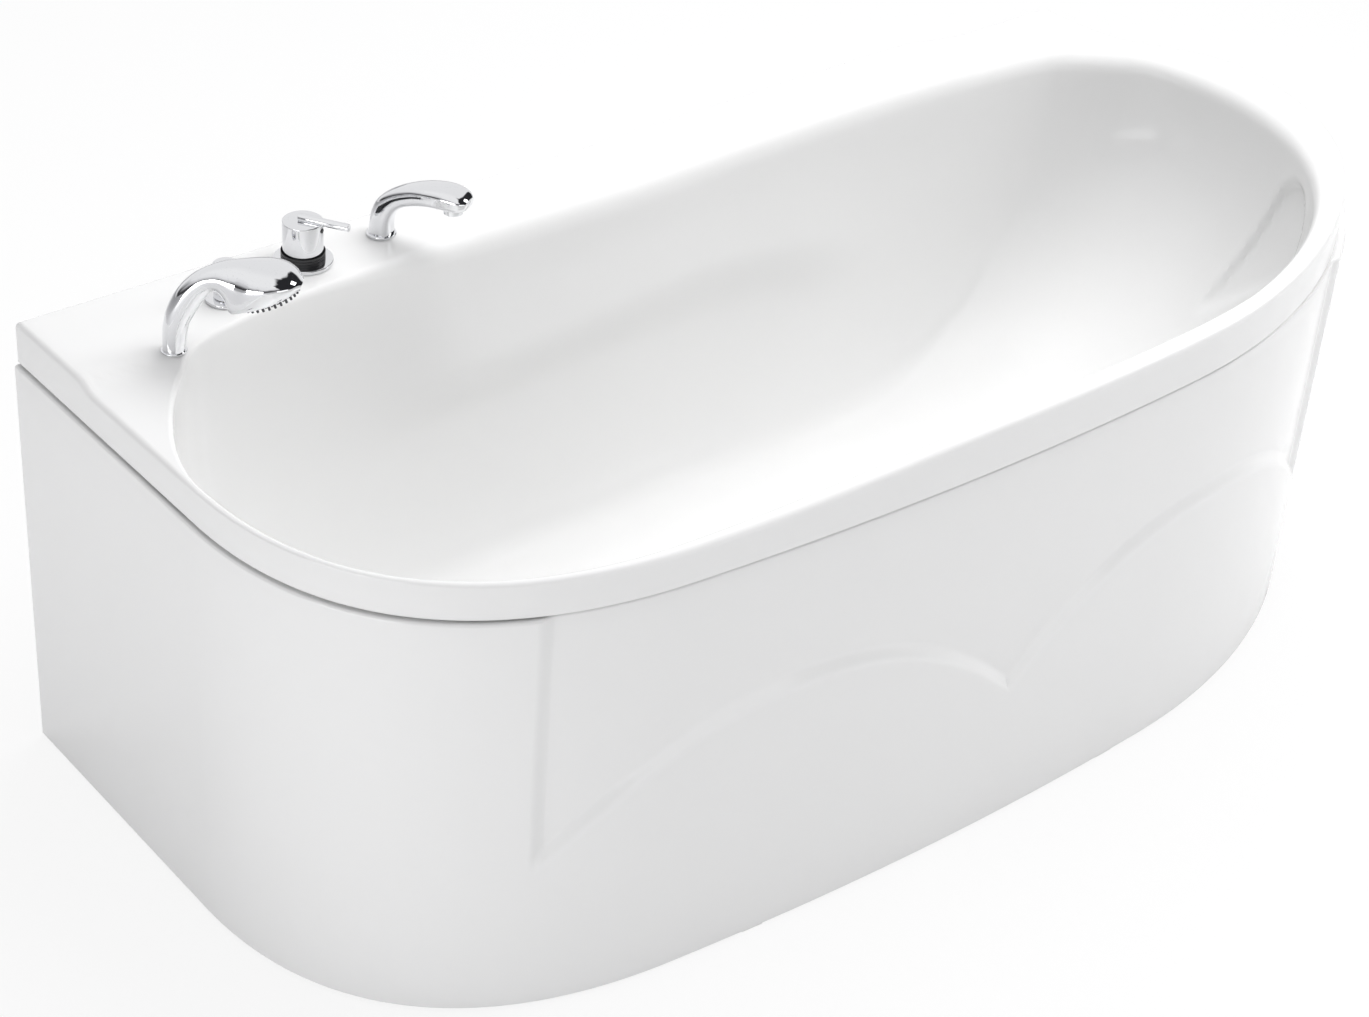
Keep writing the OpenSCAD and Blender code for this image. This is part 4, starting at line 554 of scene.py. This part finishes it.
crease = np.linspace(-CREASE_W / 2, CREASE_W / 2, CREASE_STEPS)
s = np.unique(np.round(np.concatenate([np.linspace(0, CORNER_RUN, CORNER_STEPS),
                                       np.linspace(CORNER_RUN, RELIEF_END, RELIEF_STEPS),
                                       CORNER_RUN + crease, RELIEF_END + crease,
                                       np.linspace(RELIEF_END, face_run[-1], HEAD_STEPS)]), 3))
hollow = (RELIEF * ease(-CREASE_W / 2, CREASE_W / 2, s - CORNER_RUN)
          * ease(-CREASE_W / 2, CREASE_W / 2, RELIEF_END - s))
middle = arch_z(s)
band_foot, band_top = middle - BAND_REACH * BAND_H, middle + BAND_REACH * BAND_H
flange = np.maximum(hollow + PANEL_T + FLANGE_SPARE,
                    mix(FLANGE, face_inset(face_at(s)) + RIM_SPARE,
                        ease(CORNER_RUN, CORNER_RUN + ARCH_RUN / 4, s)))


def inside_face(depth, z):
    """A row of the panel at a depth behind its plan line and at a height."""
    return at(face_at(s) + face_in(s) * (depth + 0 * s)[:, None], z + 0 * s)


def panel_ring(z):
    """A row of the panel's face: at a height z it lies in by hollow * step((z - middle) / band)."""
    return inside_face(hollow * ease(-0.5, 0.5, (z - middle) / BAND_H), z)


edge_foot = PANEL_TOP - PANEL_EDGE_R
rows = [panel_ring(PANEL_FOOT)]
rows += [panel_ring(mix(PANEL_FOOT, band_foot, v)) for v in np.linspace(0.1, 0.95, LOW_ROWS)]
rows += [panel_ring(middle + v * BAND_H) for v in np.linspace(-BAND_REACH, BAND_REACH, BAND_ROWS)]
rows += [panel_ring(mix(band_top, edge_foot, v)) for v in np.linspace(0.05, 1, HIGH_ROWS)]
rows += [inside_face(hollow + PANEL_EDGE_R * (1 - math.cos(a)), PANEL_TOP - PANEL_EDGE_R * (1 - math.sin(a)))
         for a in np.radians(np.linspace(0, 90, EDGE_ROWS)[1:])]
rows += [inside_face(flange, PANEL_TOP), inside_face(flange, PANEL_TOP - PANEL_T)]
rows += [inside_face(hollow + PANEL_T, PANEL_TOP - PANEL_T - FLANGE_FALL)]
rows += [inside_face(hollow * ease(-0.5, 0.5, v) + PANEL_T, middle + v * BAND_H) for v in BACK_LEVELS]
rows += [inside_face(PANEL_T, PANEL_FOOT)]
section = np.stack(rows, 1)
apron_white = acrylic("formed white acrylic", ACRYLIC_WHITE)
apron = facing_out(mesh_of("apron_panel", section, apron_white, "tub", sharp=40))
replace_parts(apron, "front_panel")


# The chrome fittings stand in holes in the tap deck, each on a thin disc. They are turned or cast
# brass, polished and plated, so each is one smooth skin with small rounds where its faces meet.
def softened(profile, radius, steps=4):
    """A polyline with rounded corners: each corner c becomes the curve (1-t)^2 a + 2t(1-t) c + t^2 b."""
    p = np.array(profile, dtype=float)
    out = [p[0]]
    for before, corner, after in zip(p[:-2], p[1:-1], p[2:]):
        a, b = before - corner, after - corner
        r = min(radius, np.linalg.norm(a) * ROUND_SHARE, np.linalg.norm(b) * ROUND_SHARE)
        a, b = corner + a / np.linalg.norm(a) * r, corner + b / np.linalg.norm(b) * r
        t = np.linspace(0, 1, steps + 1)[:, None]
        out.extend((1 - t) ** 2 * a + 2 * t * (1 - t) * corner + t * t * b)
    return np.array(out + [p[-1]])


def lathe(name, profile, material, body, spot, way=(0, 0, 1), count=96, radius=0.6, shut=False):
    """A profile of (radius, height) turned about an axis: spot + h * way + r * (cos a * u + sin a * v)."""
    way = np.array(way, dtype=float) / np.linalg.norm(way)
    u = np.cross((0, 0, 1) if abs(way[2]) < 0.9 else (1, 0, 0), way)
    u = u / np.linalg.norm(u)
    v = np.cross(way, u)
    line = softened(profile + (profile[:1] if shut else []), radius)
    a = np.linspace(0, 2 * np.pi, count, endpoint=False)[None, :, None]
    r, h = line[:, 0][:, None, None], line[:, 1][:, None, None]
    rings = np.array(spot) + h * way + r * (np.cos(a) * u + np.sin(a) * v)
    if shut:
        rings = rings[:-1]
    return facing_out(mesh_of(name, rings, material, body, shut=shut))


def chromed(name):
    """Polished chrome: a mirror with faint water marks, which only dull it in small patches."""
    p = Paint(name)
    smear = p.step(p.noise(60.0, 4.0, distortion=0.8), 0.5, 0.75)
    spots = p.step(p.noise(420.0, 2.0), 0.66, 0.72)
    colour = p.blend(spots * 0.5, (0.79, 0.795, 0.81), (0.66, 0.67, 0.69))
    return p.finish(Base_Color=colour, Metallic=1.0, Roughness=0.045 + smear * 0.07 + spots * 0.1,
                    Normal=p.bump(p.noise(22.0, 1.0), 0.05, 0.0006))


def plain(name, tint, rough, grain=300.0, depth=0.0004, metal=0.0, vary=0.08):
    """Moulded, painted or dull plated stock: small grain, colour patches and slightly uneven gloss."""
    p = Paint(name)
    patch = p.noise(14.0, 4.0)
    darker, lighter = tuple(c * (1 - vary) for c in tint), tuple(min(1.0, c * (1 + vary)) for c in tint)
    colour = p.blend(patch, darker, lighter)
    return p.finish(Base_Color=colour, Metallic=metal, Roughness=rough + p.noise(40.0, 3.0) * 0.12,
                    Normal=p.bump(p.noise(grain, 2.0), 0.25, depth))


chrome = chromed("polished chrome")
black = plain("black plastic", (0.025, 0.025, 0.027), 0.32)
AXIS = 0.01


def spot_of(from_end, from_wall, z):
    """A place from the foot end, from the wall and up, in mm, as a point of the frame."""
    return np.array((from_end - TUB_L / 2, TUB_W / 2 - from_wall, z))


def plan_way(degrees):
    """The level direction at a turn from the tub's length towards the wall."""
    return np.array((math.cos(math.radians(degrees)), math.sin(math.radians(degrees)), 0.0))


def washer(bore, outer, high, low=0.0):
    """The profile of a ring, or of a solid disc or rod where its bore is AXIS."""
    return [(bore, low), (outer, low), (outer, high), (bore, high)]


# The lever mixer: a chromed cap over the mixing cartridge, on a black moulded ring that is hollowed
# out so that the cap can tilt. A round pin, laid in the cap's top, turns it and lifts it, and a black
# plug hides its set screw.
MIXER, LEVER_TURN = (361.98, 59.984), -57
BASE_BORE, BASE_R, BASE_T = 16.8, 37.0, 5.4
CAP_LIFT, CAP_R, CAP_H, CAP_WALL = 9.2, 25.2, 42.4, 4.2
CAP_Z = DECK_Z + BASE_T + CAP_LIFT
PIN_R, PIN_L, PIN_BACK, PIN_LIFT = 5, 66, 5.0, 3.2
PLUG_R, PLUG_L, PLUG_SUNK, PLUG_DOWN = 3, 4.2, 3, 9
RING_BORE, RING_R, RING_H = 15.0, 27.3, 11.0
GROOVE_R, GROOVE_W, GROOVE_RAMP, GROOVE_Z = 26.4, 1.5, 0.4, (3.0, 6.6)
DISH_R, DISH_Z, DISH_LOW, DISH_TOP = 32.67, 29.2, 0.2, 10.9
lever_way = plan_way(LEVER_TURN)
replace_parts(lathe("mixer_base", washer(BASE_BORE, BASE_R, BASE_T), chrome, "tub",
                  spot_of(*MIXER, DECK_Z), radius=1.4, shut=True), "mixer_disc")
grooves = [(r, g + h) for g in GROOVE_Z
           for r, h in ((RING_R, 0), (GROOVE_R, GROOVE_RAMP), (GROOVE_R, GROOVE_W - GROOVE_RAMP),
                        (RING_R, GROOVE_W))]
dish = [(math.sqrt(DISH_R ** 2 - (h - DISH_Z) ** 2), h) for h in np.linspace(DISH_LOW, DISH_TOP, 8)]
dish_line = [(RING_BORE, 0), (RING_R, 0)] + grooves + [(RING_R, RING_H)] + dish[::-1]
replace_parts(lathe("mixer_dish", dish_line, black, "tub",
                  spot_of(*MIXER, DECK_Z + BASE_T), radius=0.3, shut=True), "mixer_ring")
cap_line = [(AXIS, CAP_H - CAP_WALL), (CAP_R - CAP_WALL, CAP_H - CAP_WALL), (CAP_R - CAP_WALL, 0),
            (CAP_R, 0), (CAP_R, CAP_H), (AXIS, CAP_H)]
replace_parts(lathe("mixer_cap_shell", cap_line, chrome, "mixer_lever",
                  spot_of(*MIXER, CAP_Z), radius=1.5), "mixer_cap")
pin_spot = spot_of(*MIXER, CAP_Z + CAP_H + PIN_LIFT) - PIN_BACK * lever_way
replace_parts(lathe("lever_rod", washer(AXIS, PIN_R, PIN_L), chrome, "mixer_lever",
                  pin_spot, lever_way, count=48, radius=0.9), "lever_pin")
plug_spot = spot_of(*MIXER, CAP_Z + CAP_H - PLUG_DOWN) + (CAP_R - PLUG_SUNK) * lever_way
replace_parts(lathe("set_screw_plug", washer(AXIS, PLUG_R, PLUG_L), black, "mixer_lever",
                  plug_spot, lever_way, count=32, radius=0.5), "lever_plug")


# The diverter: a plain turned and chromed knob on a disc, pushed on to its splined stem. A small
# black dot near its top shows which way it points.
DIVERTER, MARK_TURN = (237.06, 88.02), -110
DIV_BORE, DIV_BASE_R, DIV_BASE_T, DIV_GAP = 13.3, 26.0, 4.5, 4.8
DIV_R, DIV_H, SPLINE_R, SPLINE_H = 16, 44, 5.05, 30.6
MARK_R, MARK_L, MARK_Z, MARK_OUT = 2, 3.5, 36, 13.0
mark_way = plan_way(MARK_TURN)
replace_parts(lathe("diverter_base", washer(DIV_BORE, DIV_BASE_R, DIV_BASE_T), chrome, "tub",
                  spot_of(*DIVERTER, DECK_Z), radius=1.3, shut=True), "diverter_disc")
grip_line = [(AXIS, SPLINE_H), (SPLINE_R, SPLINE_H), (SPLINE_R, 0), (DIV_R, 0), (DIV_R, DIV_H),
             (AXIS, DIV_H)]
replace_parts(lathe("diverter_grip", grip_line, chrome, "diverter",
                  spot_of(*DIVERTER, DECK_Z + DIV_GAP), radius=1.4), "diverter_knob")
mark_spot = spot_of(*DIVERTER, DECK_Z + DIV_BASE_T + MARK_Z) + MARK_OUT * mark_way
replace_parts(lathe("diverter_dot", washer(AXIS, MARK_R, MARK_L), black, "diverter",
                  mark_spot, mark_way, count=32, radius=0.4), "diverter_mark")


# The spout is a cast swan form, polished and chromed, on a disc, with a turned aerator under its tip.
# It is lofted through stations, each of which gives a point of the upper line, a point of the lower
# line and the half width, as shares of its reach, height and width, and how flat its underside is.
def swept(name, table, reach, high, wide, squareness, base, heading, body, split=10, count=64):
    """Stations joined by Catmull-Rom curves; each ring is |cos a|^(2/n), |sin a|^(2/n) about its middle."""
    t = np.array(table, dtype=float)
    padded = np.concatenate([t[:1], t, t[-1:]])
    u = np.linspace(0, 1, split, endpoint=False)[:, None]
    after = np.concatenate([padded[3:], padded[-1:]])
    rows = [0.5 * (2 * b + (c - a) * u + (2 * a - 5 * b + 4 * c - d) * u ** 2
                   + (3 * b - a - 3 * c + d) * u ** 3)
            for a, b, c, d in zip(padded, padded[1:], padded[2:], after)]
    line = np.concatenate(rows[:len(t) - 1] + [t[-1:]])
    a = np.linspace(0, 2 * np.pi, count, endpoint=False)[None]
    c = np.sign(np.cos(a)) * np.abs(np.cos(a)) ** (2 / squareness)
    e = np.sign(np.sin(a)) * np.abs(np.sin(a)) ** (2 / squareness)
    v = np.where(e < 0, np.maximum(-1.0, e * line[:, 5:6]), e)
    top, low = line[:, 0:2] * (reach, high), line[:, 2:4] * (reach, high)
    mid, half = (top + low) / 2, (top - low) / 2
    x = mid[:, :1] + half[:, :1] * v
    z = mid[:, 1:] + half[:, 1:] * v
    y = line[:, 4:5] * wide * c
    way = plan_way(heading)
    rings = np.stack([base[0] + x * way[0] - y * way[1], base[1] + x * way[1] + y * way[0], base[2] + z], -1)
    return facing_out(mesh_of(name, rings, chrome, body, sharp=55))


SPOUT, SPOUT_TURN = (480.06, 54.03), -62
SPOUT_REACH, SPOUT_HIGH, SPOUT_HALF, SPOUT_SQUARE = 121.0, 84.0, 20.0, 3.0
SPOUT_BORE, SPOUT_BASE_R, SPOUT_BASE_T = 10.3, 19, 4
AERATOR_OUT, AERATOR_UP, AERATOR_DOWN = 0.815, 0.85, 18.0
AERATOR_R, AERATOR_BORE, AERATOR_H, AERATOR_DEEP = 12.5, 9, 13, 6.5
SPOUT_STATIONS = [
    [-0.124, 0, 0.124, 0, 0.75, 1], [-0.107, 0.22, 0.124, 0.18, 0.74, 1],
    [-0.075, 0.42, 0.150, 0.32, 0.72, 1], [-0.01, 0.59, 0.205, 0.45, 0.70, 1],
    [0.11, 0.74, 0.30, 0.55, 0.72, 1], [0.30, 0.89, 0.45, 0.63, 0.82, 1],
    [0.53, 1.0, 0.61, 0.69, 1.0, 1], [0.76, 1.04, 0.79, 0.71, 1.08, 1],
    [0.93, 0.99, 0.934, 0.73, 0.95, 1], [1.0, 0.92, 0.99, 0.77, 0.6, 1]]
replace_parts(lathe("spout_base", washer(SPOUT_BORE, SPOUT_BASE_R, SPOUT_BASE_T), chrome, "tub",
                  spot_of(*SPOUT, DECK_Z), radius=1.2, shut=True), "spout_disc")
spout_spot = spot_of(*SPOUT, DECK_Z + SPOUT_BASE_T)
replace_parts(swept("spout_swan", SPOUT_STATIONS, SPOUT_REACH, SPOUT_HIGH, SPOUT_HALF, SPOUT_SQUARE,
                  spout_spot, SPOUT_TURN, "tub"), "spout_body")
aerator_z = DECK_Z + SPOUT_BASE_T + AERATOR_UP * SPOUT_HIGH - AERATOR_DOWN
aerator_spot = spot_of(*SPOUT, aerator_z) + AERATOR_OUT * SPOUT_REACH * plan_way(SPOUT_TURN)
aerator_line = [(AXIS, AERATOR_DEEP), (AERATOR_BORE, AERATOR_DEEP), (AERATOR_BORE, 0), (AERATOR_R, 0),
                (AERATOR_R, AERATOR_H), (AXIS, AERATOR_H)]
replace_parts(lathe("spout_nozzle", aerator_line, chrome, "tub",
                  aerator_spot, radius=0.8), "spout_aerator")

# The hand shower: a cast swan form like the spout's, with a broad flat head. Its thin neck stands in
# a chrome collar on the deck, from which it lifts out.
HANDSET = (126.0, 154.035)
HANDSET_STATIONS = [
    [-0.087, 0, 0.087, 0, 0.42, 1], [-0.078, 0.268, 0.118, 0.268, 0.42, 1],
    [-0.045, 0.48, 0.170, 0.44, 0.42, 1], [0.030, 0.700, 0.235, 0.595, 0.42, 1],
    [0.115, 0.845, 0.290, 0.700, 0.43, 1], [0.205, 0.945, 0.335, 0.745, 0.46, 1],
    [0.305, 1.015, 0.375, 0.740, 0.54, 1.2], [0.405, 1.060, 0.415, 0.690, 0.66, 1.6],
    [0.515, 1.085, 0.465, 0.595, 0.80, 2.2], [0.640, 1.090, 0.570, 0.6475, 1.02, 2.2],
    [0.760, 1.080, 0.690, 0.7075, 1.10, 2.2], [0.865, 1.045, 0.800, 0.7625, 1.00, 2.2],
    [0.942, 0.985, 0.895, 0.810, 0.74, 2.2], [0.990, 0.915, 0.965, 0.845, 0.34, 1.8]]
HAND_REACH, HAND_HIGH, HAND_HALF, HAND_TURN, HAND_SQUARE = 152.0, 112.0, 33.0, -40, 2.2
COLLAR_BORE, COLLAR_R, COLLAR_T = 8.6, 15.5, 1.6
hand_spot = spot_of(*HANDSET, DECK_Z + COLLAR_T)
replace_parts(lathe("dock_collar", washer(COLLAR_BORE, COLLAR_R, COLLAR_T), chrome, "tub",
                  spot_of(*HANDSET, DECK_Z), radius=0.6, shut=True), "dock_ring")
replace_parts(swept("handset_swan", HANDSET_STATIONS, HAND_REACH, HAND_HIGH, HAND_HALF, HAND_SQUARE,
                  hand_spot, HAND_TURN, "hand_shower"), "handset_shell")

# Under the hand shower's head a grey moulded plate, oval and flat, is snapped into the chrome. Soft
# silicone nozzles stand out of it in five ovals, past the chrome edge.
spray_grey = plain("grey spray plate", (0.24, 0.25, 0.27), 0.34)
dark_silicone = plain("dark silicone", (0.045, 0.045, 0.05), 0.45, 700.0, 0.0002)
HEEL, TIP, FACE_MID = (0.465, 0.595), (0.965, 0.845), 0.51
FACE_A, FACE_B, FACE_EDGE, NOZZLE_R, NOZZLE_H = 36.0, 31.0, 1.2, 1.7, 5.4
OVAL_POINTS, NOZZLE_SIDES = 96, 10
FACE_LEVELS = ((0.94, -1.0), (1.0, -0.4), (1.0, 0.3), (0.96, 0.8), (0.5, 0.8), (0.02, 0.8))
NOZZLE_LEVELS = np.array([[NOZZLE_R, 0.2], [NOZZLE_R * 0.9, NOZZLE_H], [NOZZLE_R * 0.5, NOZZLE_H + 0.4]])
NOZZLE_OVALS = ((1.0, 30), (0.77, 23), (0.54, 16), (0.31, 9), (0.08, 3))
heel, tip = np.array((HAND_REACH, HAND_HIGH)) * HEEL, np.array((HAND_REACH, HAND_HIGH)) * TIP
slope = (tip - heel) / np.linalg.norm(tip - heel)
hand_way = plan_way(HAND_TURN)
face_along = slope[0] * hand_way + (0, 0, slope[1])
face_side = np.array((-hand_way[1], hand_way[0], 0.0))
face_out = slope[1] * hand_way - (0, 0, slope[0])
face_middle = FACE_MID * (heel + tip)
face_spot = hand_spot + face_middle[0] * hand_way + (0, 0, face_middle[1])


def on_face(a, b, h):
    """Points a along the spray face, b across it and h out of it, in mm, from its middle."""
    return face_spot + a[..., None] * face_along + b[..., None] * face_side + h[..., None] * face_out


around_oval = np.linspace(0, 2 * np.pi, OVAL_POINTS, endpoint=False)
oval_rows = [on_face(k * FACE_A * np.cos(around_oval), k * FACE_B * np.sin(around_oval),
                     np.full(OVAL_POINTS, h)) for k, h in FACE_LEVELS]
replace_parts(facing_out(mesh_of("spray_face", oval_rows, spray_grey, "hand_shower")),
            "spray_plate")
nozzle_spots = np.concatenate([np.stack([k * (FACE_A - FACE_EDGE) * np.cos(turn),
                                         k * (FACE_B - FACE_EDGE) * np.sin(turn)], 1)
                               for k, count in NOZZLE_OVALS
                               for turn in [np.linspace(0, 2 * np.pi, count, endpoint=False)]])
tooth = np.linspace(0, 2 * np.pi, NOZZLE_SIDES, endpoint=False)
spot_a, spot_b = nozzle_spots[:, None, None, 0], nozzle_spots[:, None, None, 1]
level_r, level_h = NOZZLE_LEVELS[None, :, None, 0], NOZZLE_LEVELS[None, :, None, 1]
nozzle_points = on_face(spot_a + level_r * np.cos(tooth), spot_b + level_r * np.sin(tooth),
                        level_h + 0 * spot_a * tooth)
per_nozzle = NOZZLE_SIDES * len(NOZZLE_LEVELS)
first = (np.arange(len(nozzle_spots)) * per_nozzle)[:, None, None]
i, k = np.meshgrid(np.arange(len(NOZZLE_LEVELS) - 1), np.arange(NOZZLE_SIDES), indexing="ij")
here, beside = first + i * NOZZLE_SIDES + k, first + i * NOZZLE_SIDES + (k + 1) % NOZZLE_SIDES
sides = np.stack([here, beside, beside + NOZZLE_SIDES, here + NOZZLE_SIDES], -1).reshape(-1, 4).tolist()
ends = np.concatenate([first[:, 0] + np.arange(NOZZLE_SIDES - 1, -1, -1),
                       first[:, 0] + np.arange(per_nozzle - NOZZLE_SIDES, per_nozzle)]).tolist()
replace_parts(facing_out(piece_of_points("soft_nozzles", nozzle_points.reshape(-1, 3) * 0.001, sides + ends,
                                       dark_silicone, "hand_shower", 50)), "spray_nozzles")


# The shell has a round pad in the foot end's wall, flat on its face, for the overflow's chrome ring.
# It is moulded with the shell, of the same acrylic, and the knob turns in front of it.
OVERFLOW, OVERFLOW_TURN = (-850.52, 121.929, 505.0), -26.774
OVERFLOW_R, OVERFLOW_BORE, PAD, PAD_BACK = 27.0, 19.3, 4.0, 7.0
over_way, over_spot = plan_way(OVERFLOW_TURN), np.array(OVERFLOW)
lathe("overflow_pad", washer(OVERFLOW_BORE, OVERFLOW_R, PAD, -PAD_BACK), shell_white,
      "tub", over_spot, over_way, radius=1.2, shut=True)

# The shell is drilled, once it is moulded, where the hand shower's socket and the overflow's body
# pass through it. Each drill is a plain rod, taken away from the shell and then removed.
DOCK_HOLE_R, DOCK_DRILL, OVERFLOW_DRILL, SHARP = 10.9, (-30, 12), (-20, 20), 0.01
drills = []
for drill, (r, (low, high), spot, way) in enumerate([
        (DOCK_HOLE_R, DOCK_DRILL, spot_of(*HANDSET, DECK_Z), (0, 0, 1)),
        (OVERFLOW_BORE, OVERFLOW_DRILL, over_spot, over_way)]):
    cutter = lathe("drill_%d" % drill, washer(AXIS, r, high, low), shell_white, "tub",
                   spot, way, count=64, radius=SHARP)
    cut = shell.modifiers.new("hole", "BOOLEAN")
    cut.operation, cut.object, cut.solver = "DIFFERENCE", cutter, "EXACT"
    drills.append(cutter)
bpy.context.view_layer.update()
drilled = bpy.data.meshes.new_from_object(shell.evaluated_get(bpy.context.evaluated_depsgraph_get()))
shell.modifiers.clear()
shell.data = drilled
for cutter in drills:
    bpy.data.objects.remove(cutter)


# What the tub hides keeps the shape of its solids: painted steel tubes on zinc plated screw feet, a
# chipboard bearer glued under the floor, white moulded waste parts and cast brass valves.
steel = plain("zinc plated steel", (0.52, 0.53, 0.55), 0.34, 500.0, 0.0002, 1.0, 0.06)
dark_coat = plain("grey powder coat", (0.085, 0.09, 0.095), 0.45, 900.0, 0.0004, 0.0, 0.05)
rubber = plain("black rubber", (0.03, 0.03, 0.03), 0.6, 700.0, 0.0004)
waste_white = plain("moulded white plastic", (0.78, 0.78, 0.76), 0.36, 260.0, 0.0003, 0.0, 0.03)
brass = plain("cast brass", (0.60, 0.44, 0.19), 0.3, 350.0, 0.0004, 1.0, 0.1)
board = Paint("raw chipboard")
flakes = board.noise(220.0, 5.0, (1.0, 1.0, 3.0))
chips = board.blend(board.step(flakes, 0.35, 0.65), (0.36, 0.25, 0.14), (0.66, 0.52, 0.34))
chipboard = board.finish(Base_Color=chips, Roughness=0.72 + flakes * 0.15,
                         Normal=board.bump(flakes, 0.5, 0.0008))
finish_of = {"zinc_steel": steel, "frame_paint": dark_coat, "seal_rubber": rubber,
             "nozzle_rubber": dark_silicone, "drain_plastic": waste_white, "spray_grey": spray_grey,
             "valve_brass": brass, "board_wood": chipboard, "chrome": chrome, "black_trim": black,
             "glazed_acrylic": shell_white, "panel_acrylic": apron_white}
for part in frame["record"]["subparts"]:
    for material_slot in nodes[part["node"]].material_slots:
        material_slot.material = finish_of[part["material_slot"]]
